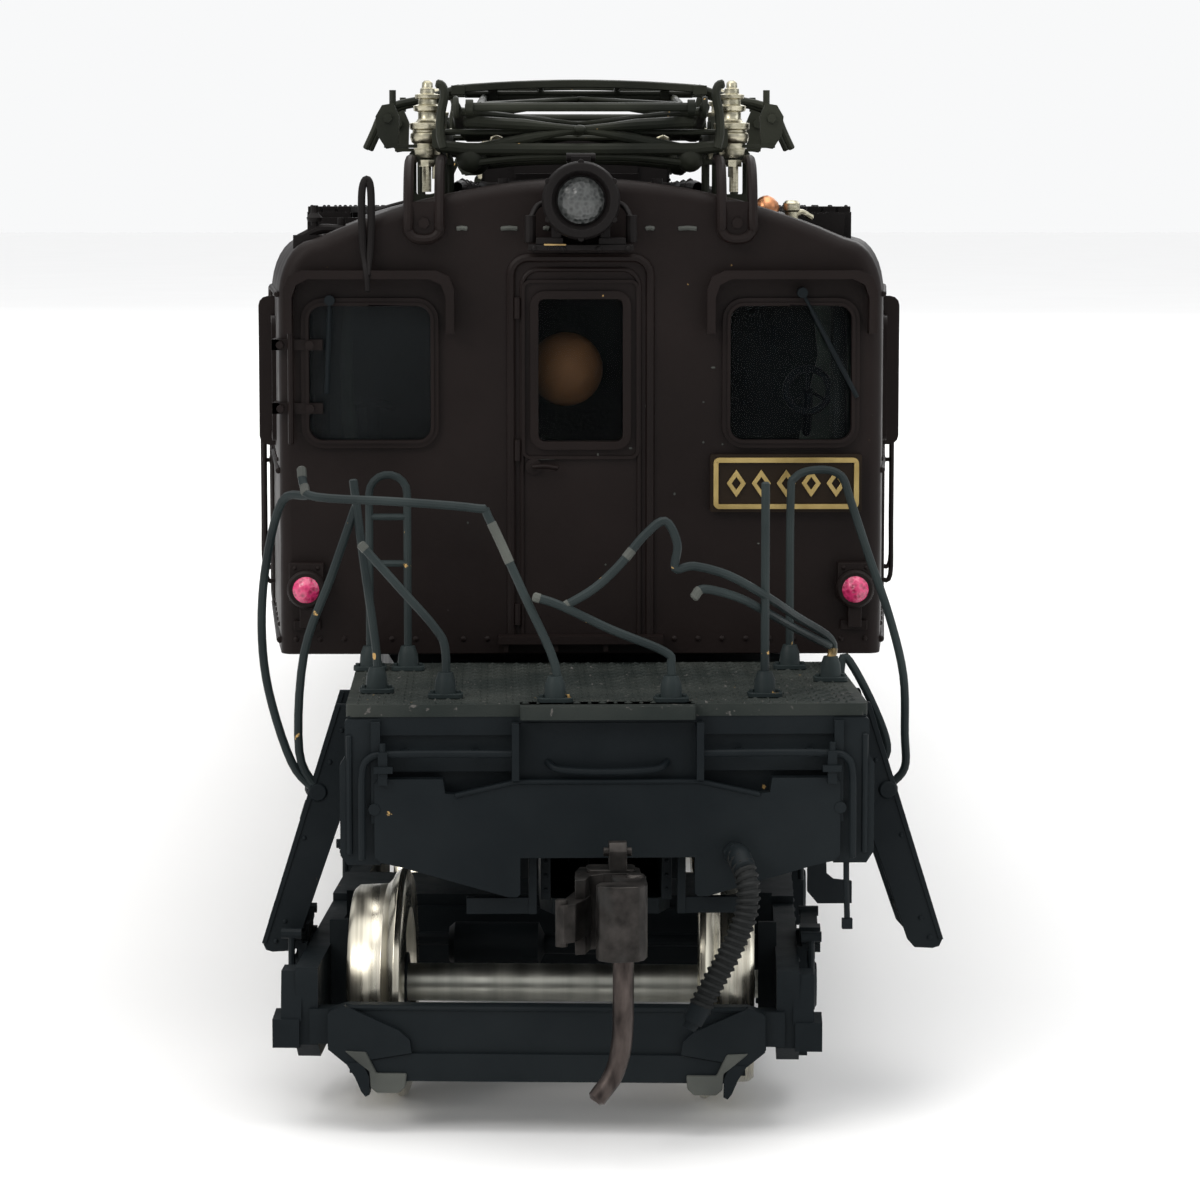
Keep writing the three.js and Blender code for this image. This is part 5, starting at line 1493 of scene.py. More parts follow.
def pan_arms(end):
    """The lower and upper arm frames of both halves of the diamond."""
    at = place("body", end)
    for sign, word in ((-1, "outer"), (1, "inner")):
        lower, upper = Form(), Form()
        pivot = mirror_y(PAN_PIVOT, sign)
        knee = mirror_y(PAN_KNEE, sign)
        head = mirror_y(PAN_HEAD, sign)
        waist = [
            (-6.75, 0.4), (-6.2, 0.8), (-4.4, 0.62), (-0.6, 0.3), (0.6, 0.3), (4.4, 0.62), (6.2, 0.8),
            (6.75, 0.4),
        ]
        lower.tube([(x, pivot.y, pivot.z) for x, _ in waist], [r for _, r in waist], 16, 2)
        for side in (-1, 1):
            a = Vector((side * LOWER_X, pivot.y, pivot.z))
            b = Vector((side * LOWER_X, knee.y, knee.z))
            lower.tube([a, a.lerp(b, 0.5), b], [0.36, 0.31, 0.27], 10, 1)
            lower.turned(
                [(-0.36, AXIS), (-0.36, 0.62), (-0.2, 0.74), (0.2, 0.74), (0.36, 0.62), (0.36, AXIS)],
                (side * 5.3, pivot.y, pivot.z), "x", 20,
            )
            ring = [
                (side * LOWER_X, b.y + 0.42 * math.cos(t), b.z + 0.42 * math.sin(t))
                for t in (math.radians(30 * k) for k in range(12))
            ]
            lower.tube(ring, 0.17, 6, 1, True, smooth=False)
            c = Vector((side * UPPER_X, knee.y, knee.z))
            d = Vector((side * UPPER_X, head.y, head.z))
            upper.tube([c, c.lerp(d, 0.5), d], [0.26, 0.24, 0.2], 10, 1)
            upper.turned(
                [(-0.2, AXIS), (-0.2, 0.4), (0.2, 0.4), (0.2, AXIS)], (side * 5.75, knee.y, knee.z), "x", 14,
            )
            # diagonal stays, clear of the other pair of arms
            e, f = a.lerp(b, 0.12), a.lerp(b, 0.8)
            lower.tube([(0.0, e.y, e.z), (side * LOWER_X, f.y, f.z)], [0.14, 0.24], 8, 1)
            g, h = c.lerp(d, 0.2), c.lerp(d, 0.92)
            upper.tube([(0.0, h.y, h.z), (side * UPPER_X, g.y, g.z)], [0.13, 0.19], 8, 1)
        upper.tube([(-5.9, knee.y, knee.z), (5.9, knee.y, knee.z)], 0.24, 10, 2)
        upper.tube([(-UPPER_X, head.y, head.z), (UPPER_X, head.y, head.z)], 0.22, 10, 2)
        make(
            f"{end}_pantograph_{word}_lower_arm", lower, PAN_PAINT, f"{end}_pantograph_lower_{word}_arm",
            at, (f"{end}_pantograph_lower_{word}",), bevel=0.03,
        )
        make(
            f"{end}_pantograph_{word}_upper_arm", upper, PAN_PAINT, f"{end}_pantograph_upper_{word}_arm",
            at, (f"{end}_pantograph_upper_{word}",), bevel=0.03,
        )


def pan_head(end):
    """Two bowed contact strips, their ties and drooping horns."""
    at = place("body", end)
    form = Form()
    z = HEAD_Z
    for sign in (-1, 1):
        y = PAN_Y + sign * STRIP_Y
        # a shallow bowed strip with raised edges
        rings = []
        for k in range(13):
            x = -6.8 + 13.6 * k / 12
            sag = -0.3 * (x / 6.8) ** 2
            section = [(-0.45, 0.0), (0.45, 0.0), (0.45, 0.36), (0.3, 0.42), (-0.3, 0.42), (-0.45, 0.36)]
            rings.append([Vector((x, y + u, z + v + sag)) for u, v in section])
        form.rings(rings)
        for side in (-1, 1):
            horn = [
                (side * 6.5, y, z - 0.05), (side * 8.2, y, 49.7), (side * 9.9, y, 49.35),
                (side * 10.7, y, 48.8), (side * 11.6, y, 47.0),
            ]
            form.tube(horn, [0.24, 0.22, 0.22, 0.24, 0.2], 8, 4)
            form.box(side * 6.2, side * 6.95, y - 0.5, y + 0.5, z - 0.4, z + 0.1)
    for x in (-6.3, -2.1, 2.1, 6.3):
        form.tube([(x, PAN_Y - STRIP_Y, z + 0.02), (x, PAN_Y + STRIP_Y, z + 0.02)], 0.17, 8, 2)
    form.tube([(-6.2, PAN_Y - 1.5, z - 0.35), (6.2, PAN_Y - 1.5, z - 0.35)], 0.2, 8, 2)
    for x in (-4.7, 4.7):
        form.box(x - 0.25, x + 0.25, PAN_Y - 1.8, PAN_Y - 1.2, PAN_HEAD.z - 0.1, z + 0.1)
    make(
        f"{end}_pantograph_shoes", form, PAN_PAINT, f"{end}_pantograph_head_body", at,
        (f"{end}_pantograph_head",), bevel=0.03,
    )


for end_name in ("front", "rear"):
    pan_base(end_name)
    pan_arms(end_name)
    pan_head(end_name)


# ---------------------------------------------------------------------------------------------
# End deck with its rails, ladders and buffer beam; it rides on the driving bogie
# ---------------------------------------------------------------------------------------------
DECK_TOP = 20.2
DECK_FRONT = -116.5
DECK_BACK = -99.8
DECK_HALF = 12.55
ARCH_IN, ARCH_OUT, ARCH_Y = 9.85, 11.8, -102.8
WIRE = 0.215


def tread_plate():
    """The deck with its raised diamond tread and the lip over the coupler."""
    form = Form()
    form.plate("z", 19.5, DECK_TOP - 0.12, rounded(-DECK_HALF, DECK_HALF, DECK_FRONT, DECK_BACK, 0.4))
    form.plate("z", 19.45, DECK_TOP - 0.12, rounded(-4.2, 4.2, DECK_FRONT - 1, DECK_FRONT + 1, 0.2))
    pitch = 0.62
    top = DECK_TOP - 0.14
    for j in range(int((DECK_BACK - DECK_FRONT) / pitch)):
        for i in range(int(2 * DECK_HALF / pitch) - 1):
            x = -DECK_HALF + 0.55 + pitch * i + (0.31 if j % 2 else 0)
            y = DECK_FRONT + 0.45 + pitch * j
            if x > DECK_HALF - 0.4 or y > DECK_BACK - 0.3:
                continue
            a, b = (0.25, 0.12) if (i + j) % 2 else (0.12, 0.25)
            ring = [(x - a, y, top), (x, y - b, top), (x + a, y, top), (x, y + b, top), (x, y, top + 0.13)]
            form.put(ring, [(0, 1, 4), (1, 2, 4), (2, 3, 4), (3, 0, 4), (3, 2, 1, 0)])
    return form


def socket(form, x, y):
    """A rail stanchion's foot: flange with two bolts, then a collar."""
    form.plate("z", DECK_TOP - 0.1, DECK_TOP + 0.12, rounded(x - 0.85, x + 0.85, y - 0.6, y + 0.6, 0.3, 3))
    form.turned(
        [(0, AXIS), (0, 0.56), (0.75, 0.5), (0.95, 0.42), (1.15, 0.36), (1.15, AXIS)], (x, y, DECK_TOP),
        "z", 14,
    )
    for u in (-0.62, 0.62):
        form.rod((x + u, y, DECK_TOP + 0.1), (x + u, y, DECK_TOP + 0.26), 0.15, sides=6)


# Runs of the knocked rails, from the deck up or from one rail to the next
BENT_RAILS = (
    (
        (-2.5, -115.6, 19.9), (-2.5, -115.6, 21.9), (-4, -115.4, 25.3), (-5.7, -115, 29),
        (-6.2, -115, 29.4), (-10, -114.6, 29.7), (-14, -114, 29.9), (-14.6, -113.5, 30.4),
        (-14.75, -113, 31.2),
    ),
    (
        (-14.4, -113.8, 29.95), (-15.7, -112.6, 29.6), (-16.6, -111, 26.5), (-16.9, -110.4, 23.2),
        (-16.6, -110.2, 20), (-15.5, -110.1, 16.4), (-14.3, -110, 14.9),
    ),
    (
        (-7.8, -113.9, 19.9), (-7.8, -113.9, 22.4), (-8.3, -113.8, 23.5), (-10, -113.4, 25.4),
        (-11.9, -113, 27.5),
    ), ((-11.2, -111.8, 19.9), (-11.2, -111.8, 22), (-11.8, -111.6, 26.5), (-12.3, -111.4, 30.5)),
    (
        (-12.2, -111.4, 29.2), (-13.4, -111.2, 25.8), (-14.8, -110.8, 21.9), (-15.1, -110.4, 17),
        (-14.2, -110, 14.9),
    ),
    (
        (3.1, -115.6, 19.9), (3.1, -115.6, 21.8), (2.8, -115.6, 22.5), (0.2, -115.7, 23.6),
        (-2.3, -115.8, 24.8), (-3.5, -115.8, 25.2),
    ),
    (
        (-2, -115.7, 24.75), (-0.6, -115.7, 25.6), (0.6, -115.6, 26.7), (1.8, -115.4, 28.1),
        (2.8, -115.3, 28.8), (3.4, -115.3, 27.7), (3.3, -115.3, 26.5), (4.2, -115.1, 26.6),
        (5.9, -114.6, 26.1), (7.8, -113.9, 25), (9.5, -111, 23.7), (11.5, -108, 22.2), (11.5, -107.9, 21),
    ),
    (
        (4.2, -115.3, 25.1), (4.7, -115.2, 25.5), (6.4, -114.4, 25), (7.8, -113.4, 24.2), (9.6, -110.5, 23),
        (11.4, -108.1, 21.9),
    ), ((7.75, -113.9, 19.9), (7.75, -113.9, 25), (7.75, -113.9, 30.5)),
    (
        (ARCH_IN, ARCH_Y, 19.9), (ARCH_IN, ARCH_Y, 28.6), (10.1, ARCH_Y, 30), (11.3, -103, 30.4),
        (12.4, -103.2, 30.1), (12.9, -103.4, 28.8), (13.8, -104, 26), (14.8, -104.6, 23), (15.5, -105, 20),
        (15.6, -105, 17), (15.6, -105, 15.2), (14.7, -105, 14.2),
    ),
    (
        (12.2, -105.4, 19.9), (12.5, -105.3, 21), (13.8, -105.1, 18.8), (14.7, -105, 16.4),
        (14.3, -104.9, 15.2),
    ),
)
BENT_SOCKETS = (
    (-2.5, -115.6), (-7.8, -113.9), (-11.2, -111.8), (3.1, -115.6), (7.75, -113.9), (11.5, -107.9),
    (-ARCH_IN, ARCH_Y), (ARCH_IN, ARCH_Y),
)
SOUND_SOCKETS = tuple(
    (s * x, y)
    for s in (-1, 1)
    for x, y in ((2.7, -115.6), (7.8, -115.2), (11.9, -114.4), (ARCH_IN, ARCH_Y))
)
# Bare brass and pale places on the knocked rails, the pale ones worn paint with painted highlights: run, 0 from
# its start or -1 from its end, and the stretch in millimetres
BRASS_ENDS = ((5, 0, 0.0, 0.7), (6, -1, 0.0, 0.9))
WORN_AND_HIGHLIGHT_ENDS = (
    (6, 0, 0.0, 0.35), (5, -1, 0.0, 0.3), (7, 0, 0.0, 0.5), (0, -1, 0.0, 0.5), (0, -1, 0.9, 1.5),
    (2, -1, 0.0, 0.5), (8, -1, 0.0, 0.3), (0, 0, 7.2, 9.6), (3, -1, 0.0, 0.3), (6, 0, 3.6, 4.4),
)


def sound_rails(side):
    """The straight rails of one side of the deck, as they were before any knock."""
    def s(x):
        return side * x
    return (
        (
            (s(2.7), -115.6, 19.9), (s(2.7), -115.6, 27), (s(3), -115.6, 29.8), (s(4.2), -115.5, 30.3),
            (s(10.4), -115, 30.3), (s(12.3), -114.2, 30.2), (s(14.9), -112.4, 29.2), (s(16), -110.8, 26),
            (s(16.2), -110.2, 20), (s(15.6), -110.1, 16.4), (s(14.6), -110, 14.9),
        ), ((s(7.8), -115.2, 19.9), (s(7.8), -115.2, 25.4), (s(7.8), -115.2, 30.3)),
        ((s(2.7), -115.6, 25.4), (s(7.8), -115.2, 25.4), (s(11.9), -114.4, 25.4)),
        ((s(11.9), -114.4, 19.9), (s(11.9), -114.4, 25.4), (s(11.9), -114.4, 30.2)),
    )


def grab_arch(form, side):
    """A round-topped grab rail with two rungs, in front of the corner of the body."""
    middle, r = (ARCH_IN + ARCH_OUT) / 2, (ARCH_OUT - ARCH_IN) / 2
    arc = [
        (middle - r * math.cos(a), 29.2 + r * math.sin(a))
        for a in (math.radians(20 * k) for k in range(10))
    ]
    legs = [(side * x, ARCH_Y, z) for x, z in ((ARCH_IN, 19.9), *arc, (ARCH_OUT, 19.9))]
    form.tube(legs, WIRE * 0.95, 10, 1, smooth=False)
    for z in (28, 25.6):
        form.tube([(side * ARCH_IN, ARCH_Y, z), (side * ARCH_OUT, ARCH_Y, z)], WIRE * 0.8, 8, 2)


def wire_sleeves(places):
    """Thin sleeves on the knocked rails, for bare brass where the paint is gone and for worn paint with painted
    highlights.
    """
    form = Form()
    for run, at_end, start, stop in places:
        points = smooth_path(BENT_RAILS[run], 8)
        if at_end:
            points = points[::-1]
        piece, walked = [], 0.0
        for a, b in zip(points, points[1:]):
            if start <= walked <= stop:
                piece.append(a)
            walked += (b - a).length
        if len(piece) > 1:
            form.tube(piece, WIRE + 0.02, 8, smooth=False)
    return form


def ladder(side):
    """A splayed pair of stringers with two treads and rounded feet."""
    form = Form()
    bar = [
        (12.3, 19.3), (13.3, 19.3), (17, 7.3), (16.85, 6.95), (16.5, 6.85), (15.6, 6.9), (15.25, 7.3),
        (12.3, 15.8),
    ]
    for y0 in (-110.2, -104.9):
        form.plate("y", y0, y0 + 0.4, on_side(bar, side))
        edge = ((13.05, 19.2), (13.3, 19.3), (17.05, 7.3), (16.8, 7.3))
        form.plate("y", y0 - 0.08, y0 + 0.48, on_side(edge, side))
    for z, x in ((8.2, 16.6), (13.4, 15.0)):
        form.box(side * (x - 1.6), side * (x + 0.1), -110, -104.5, z, z + 0.22)
        form.box(side * (x - 0.05), side * (x + 0.12), -110, -104.5, z - 0.35, z + 0.22)
        for k in range(9):
            y = -109.5 + 0.56 * k
            form.box(side * (x - 1.4), side * (x - 0.15), y, y + 0.18, z + 0.2, z + 0.34)
    form.box(side * 12, side * 13.2, -110.1, -104.6, 18.05, 18.6)
    for x, y, z in ((14.2, -110.05, 14.9), (14.6, -104.9, 14.3)):
        form.turned(
            [(-0.3, AXIS), (-0.3, 0.4), (-0.1, 0.52), (0.25, 0.52), (0.25, AXIS)], (side * x, y, z), "y", 14,
        )
    bolts = ((13.0, 18.0), (13.6, 16.4), (15.9, 8.4), (16.35, 7.4), (14.9, 12.6))
    rivets(form, [(side * u, -110.2, v) for u, v in bolts], head=rivet(0.15, 0.1, 6))
    return form


def buffer_beam():
    """Beam, apron with its coupler cut-out and notches, wings, pipes and brackets."""
    form = Form()
    form.box(-11.3, 11.3, DECK_FRONT + 0.3, DECK_FRONT + 1.2, 16.8, 19.4)
    form.box(-11.0, 11.0, DECK_FRONT + 0.7, DECK_FRONT + 1.1, 12.8, 17.0)
    form.box(-DECK_HALF + 0.1, DECK_HALF - 0.1, DECK_FRONT + 0.05, DECK_FRONT + 0.6, 18.6, 19.55)
    form.box(-4.3, 4.3, -104.3, -104.0, 9.4, 16.9)  # stretcher behind the draft box
    for side in (-1, 1):
        form.box(side * (DECK_HALF - 0.5), side * (DECK_HALF - 0.1), DECK_FRONT + 0.2, DECK_BACK, 18.5, 19.55)
    half = [
        (4.2, 12.7), (4.2, 10.95), (4.35, 10.8), (4.8, 10.8), (10, 12.3), (10.9, 12.5), (11.2, 12.8),
        (11.2, 16.3), (11.0, 16.55), (7.9, 16.55), (7.8, 15.85), (7.3, 15.8), (4.4, 16.45),
    ]
    form.plate("y", -117.0, -116.25, half + mirrored(half))
    rim = [(7.3, 15.75), (4.4, 16.4), (-4.4, 16.4), (-7.3, 15.75)]
    bead(form, [(x, -117.0, z) for x, z in rim], 0.13)
    # pocket over the coupler, with its curved bar
    form.plate("y", -116.5, -116.25, rounded(-4.3, 4.3, 16.3, 19.2, 0.3))
    form.tube(
        [
            (-2.9, -116.5, 17.3), (-2.3, -117.0, 17.0), (0, -117.15, 16.9), (2.3, -117.0, 17.0),
            (2.9, -116.5, 17.3),
        ], 0.17, 10,
    )
    for side in (-1, 1):
        form.box(side * 4.25, side * 4.6, -117.45, -116.2, 16.5, 19.25)
        pipe = [
            (4.6, 17.75), (7.5, 17.78), (10.6, 17.75), (11.45, 17.55), (11.75, 16.9), (11.8, 15.0),
            (11.8, 12.7),
        ]
        form.tube([(side * x, -117.0, z) for x, z in pipe], 0.18, 10, 4)
        for x in (6.2, 9.6):
            form.box(side * x, side * (x + 0.3), -117.1, -116.2, 17.6, 17.9)
        wing = [
            (10.9, 19.4), (12.5, 19.4), (12.6, 19.3), (12.6, 17.6), (12.85, 17.2), (12.85, 12.9),
            (12.5, 12.35), (10.9, 12.35),
        ]
        form.plate("y", -116.65, -115.95, on_side(wing, side))
        bead(form, [(side * 12.4, -116.68, z) for z in (12.9, 18.6)], 0.16)
        form.box(side * 10.9, side * 11.35, -116.9, DECK_BACK - 1.5, 14.4, 19.3)
        # lamp iron on the corner of the apron
        form.box(side * 10.55, side * 11.0, -117.35, -116.9, 16.3, 17.9)
        form.box(side * 10.3, side * 11.2, -117.5, -117.2, 16.9, 17.2)
        form.rod((side * 10.78, -117.15, 17.8), (side * 10.78, -117.15, 18.3), 0.16, sides=8)
        form.rod((side * 11.2, -117.05, 15.1), (side * 11.2, -116.6, 15.1), 0.3, sides=8)
    # upright rod with a foot on the right, and an angle bracket behind it
    form.tube([(11.55, -116.4, 12.6), (11.55, -116.5, 11.4), (11.6, -116.5, 9.6)], 0.15, 6)
    form.box(11.35, 11.85, -116.7, -116.3, 9.1, 9.6)
    bracket = [
        (10.0, 12.8), (10.9, 12.8), (10.95, 11.1), (11.3, 10.8), (12.2, 10.7), (12.2, 9.6), (10.5, 9.6),
        (10.0, 10.2),
    ]
    form.plate("y", -112.6, -112.3, bracket)
    return form


def draft_gear():
    """The box that holds the coupler's shank, with its pin and side brackets."""
    form = Form()
    form.plate("z", 12.5, 13.3, [(-3.2, -115.9), (3.2, -115.9), (3.2, -104), (-3.2, -104)])
    form.plate(
        "z", 9.4, 10.2,
        [(-2.6, -114), (2.6, -114), (3.2, -112.5), (3.2, -104), (-3.2, -104), (-3.2, -112.5)],
    )
    form.box(-3.2, 3.2, -104.8, -104, 9.4, 13.3)
    form.box(-11, 11, -116.2, -115.6, 12.8, 14.2)
    form.rod((0, -108.5, 9.3), (0, -108.5, 13.45), 0.62, sides=16)
    form.rod((0, -108.5, 9.1), (0, -108.5, 9.4), 1.05, sides=16)
    for side in (-1, 1):
        form.box(side * 2.7, side * 3.2, -114.5, -104, 10.2, 12.5)
        form.box(side * 3.4, side * 6.8, -116.0, -115.5, 9.8, 10.6)
        form.box(side * 3.4, side * 3.8, -116.1, -115.4, 9.8, 12.8)
        rivets(form, [(side * 2.95, -114.5, z) for z in (10.7, 11.4, 12.1)], head=rivet(0.13, 0.09, 6))
    return form


HOSE = (
    (6.1, -117.6, 12.9), (6.3, -118.6, 12.8), (6.6, -119.3, 11.8), (6.5, -119.5, 10.4), (5.8, -119.6, 8.7),
    (4.9, -119.8, 7.1), (4, -119.9, 5.4),
)


def brake_hose():
    """A hose wound with wire, its elbow and the small coupling head at its end."""
    path = smooth_path(HOSE, 10)
    ribbed, fittings = Form(), Form()
    ribbed.tube(path, 0.48, 12, smooth=False)
    lengths = [0.0]
    for a, b in zip(path, path[1:]):
        lengths.append(lengths[-1] + (b - a).length)
    total, pitch, per_turn = lengths[-1], 0.34, 10
    turns = int((total - 1.0) / pitch)
    coil = []
    k = 0
    for i in range(turns * per_turn + 1):
        s = 0.6 + pitch * i / per_turn
        while k < len(path) - 2 and lengths[k + 1] < s:
            k += 1
        t = (s - lengths[k]) / (lengths[k + 1] - lengths[k])
        centre = path[k].lerp(path[k + 1], t)
        axis = (path[k + 1] - path[k]).normalized()
        u = Vector((1, 0, 0)) - axis * axis.x
        u.normalize()
        v = axis.cross(u)
        a = 2 * math.pi * i / per_turn
        coil.append(centre + (u * math.cos(a) + v * math.sin(a)) * 0.5)
    ribbed.tube(coil, 0.11, 5, smooth=False)
    fittings.rod((6.1, -116.9, 12.9), (6.1, -117.7, 12.9), 0.6, sides=6)
    fittings.tube([(6.1, -117.3, 12.9), (6.25, -118.4, 12.95), (6.45, -119.0, 12.5)], 0.55, 12)
    end, back = path[-1], path[-6]
    axis = (end - back).normalized()
    fittings.rod(end - axis * 0.9, end + axis * 0.15, 0.54, 0.5, 12)
    fittings.rod(end - axis * 0.2, end + axis * 0.5, 0.4, 0.34, 12)
    return ribbed, fittings


def end_deck(end):
    """The deck and all it carries: rails, ladders, beam, draft gear and hose."""
    at, body = place("bogie", end), f"{end}_bogie"
    bent = end == "front"
    make(
        f"{end}_deck_plate", tread_plate(), DECK_PAINT, body, at, (f"{end}_end_deck",),
        bevel=0,
    )
    form = Form()
    arches = (-1,) if bent else (-1, 1)  # a knocked rail takes the place of the right-hand arch
    feet = BENT_SOCKETS if bent else SOUND_SOCKETS
    for x, y in (*feet, *((side * ARCH_OUT, ARCH_Y) for side in arches)):
        socket(form, x, y)
    make(f"{end}_rail_sockets", form, WIRE_PAINT, body, at, bevel=0.03)
    rails = Form()
    for points in BENT_RAILS if bent else (*sound_rails(-1), *sound_rails(1)):
        rails.tube(points, WIRE, 10, 5)
    for side in arches:
        grab_arch(rails, side)
    make(f"{end}_handrails", rails, WIRE_PAINT, body, at, bevel=0)
    if bent:
        make("front_rail_bare_brass", wire_sleeves(BRASS_ENDS), BARE_BRASS, body, at, bevel=0)
        # pale sleeves: worn paint with painted highlights on the rails' ends
        make("front_rail_wear_and_highlights", wire_sleeves(WORN_AND_HIGHLIGHT_ENDS), WEAR_AND_HIGHLIGHT_PAINT, body, at, bevel=0)
    steps = ladder(-1)
    steps.stamp(ladder(1), Matrix.Identity(4))
    make(f"{end}_deck_ladders", steps, FRAME_PAINT, body, at, bevel=0.04)
    beam = buffer_beam()
    make(f"{end}_buffer_beam", beam, FRAME_PAINT, body, at, bevel=0.05)
    make(f"{end}_draft_gear", draft_gear(), FRAME_PAINT, body, at, bevel=0.05)
    ribbed, fittings = brake_hose()
    make(
        f"{end}_brake_hose_tube", ribbed, RUBBER, body, at, (f"{end}_brake_hose",), bevel=0,
        angle=60,
    )
    make(f"{end}_brake_hose_fittings", fittings, FRAME_PAINT, body, at, bevel=0.04)


# ---------------------------------------------------------------------------------------------
# Coupler and knuckle
# ---------------------------------------------------------------------------------------------
COUPLER_PIN_Y = -108.5
COUPLER_HEAD_Z = (9.05, 12.6)


def coupler(end):
    """Shank and head with its guard arm and lock, and the knuckle with its trip pin."""
    at = place("bogie", end)
    form = Form()
    shank = [
        (-1.7, -106.9), (1.7, -106.9), (1.7, -109.5), (0.8, -110.4), (0.8, -119.6), (-0.8, -119.6),
        (-0.8, -110.4), (-1.7, -109.5),
    ]
    form.plate("z", 10.9, 11.9, shank, [circle(0, COUPLER_PIN_Y, 0.9)])
    block = [
        (1.25, -118.9), (1.45, -119.3), (1.45, -120.7), (-0.3, -120.7), (-0.95, -121.2), (-1.2, -122.3),
        (-1.7, -122.5), (-1.65, -120.2), (-1.4, -118.9),
    ]
    form.plate("z", *COUPLER_HEAD_Z, block)
    arm = [
        (-1.2, -120.4), (-0.9, -121.3), (-1.2, -122.4), (-1.7, -123.7), (-2.25, -124.1), (-2.6, -123.7),
        (-2.2, -122.4), (-1.7, -120.4),
    ]
    form.plate("z", 9.9, 11.7, arm)
    form.rod((-2.35, -123.6, 9.7), (-2.35, -123.6, 11.9), 0.3, sides=12)
    # lug and lever of the lock on top
    form.plate(
        "x", -0.05, 0.8,
        [(-120.6, 12.5), (-119.2, 12.5), (-119.3, 13.6), (-119.7, 14.0), (-120.3, 14.0), (-120.6, 13.6)],
    )
    form.rod((-0.3, -119.9, 13.5), (1.05, -119.9, 13.5), 0.22, sides=10)
    form.plate("z", 12.55, 12.75, rounded(-1.1, 1.2, -120.6, -119.0, 0.3, 3))
    make(
        f"{end}_coupler_head", form, COUPLER_METAL, f"{end}_coupler_body", at,
        (f"{end}_coupler",), bevel=0.12, segments=3,
    )
    jaw = Form()
    outline = [
        (0.05, -121.05), (1.2, -121.05), (1.5, -121.25), (1.65, -121.7), (1.65, -123.3), (1.5, -123.9),
        (1.2, -124.25), (0.4, -124.4), (-0.3, -124.3), (-0.65, -124.0), (-0.75, -123.5), (-0.6, -123.1),
        (-0.3, -123.0), (0.3, -122.9), (0.1, -122.4), (0.05, -122.2),
    ]
    jaw.plate("z", *COUPLER_HEAD_Z, outline)
    jaw.turned(
        [(8.95, AXIS), (8.95, 0.4), (9.1, 0.5), (12.6, 0.5), (12.75, 0.4), (12.75, AXIS)],
        (1.15, -121.65, 0), "z", 18,
    )
    pin = Form().tube(
        [
            (0.55, -122.6, 10), (0.55, -122.6, 7.4), (0.5, -122.5, 5), (0.1, -122.6, 3.4),
            (-0.7, -122.9, 2.3),
        ], [0.5, 0.5, 0.49, 0.47, 0.45], 14, 6,
    )
    make(f"{end}_trip_pin", pin, PIN_METAL, f"{end}_knuckle_body", at, bevel=0)
    make(
        f"{end}_coupler_jaw", jaw, COUPLER_METAL, f"{end}_knuckle_body", at,
        (f"{end}_coupler_knuckle",), bevel=0.1, segments=3,
    )


# ---------------------------------------------------------------------------------------------
# Wheelsets
# ---------------------------------------------------------------------------------------------
INNER_FACE = 7.25  # half the distance between the wheels
TYRE = 2.8


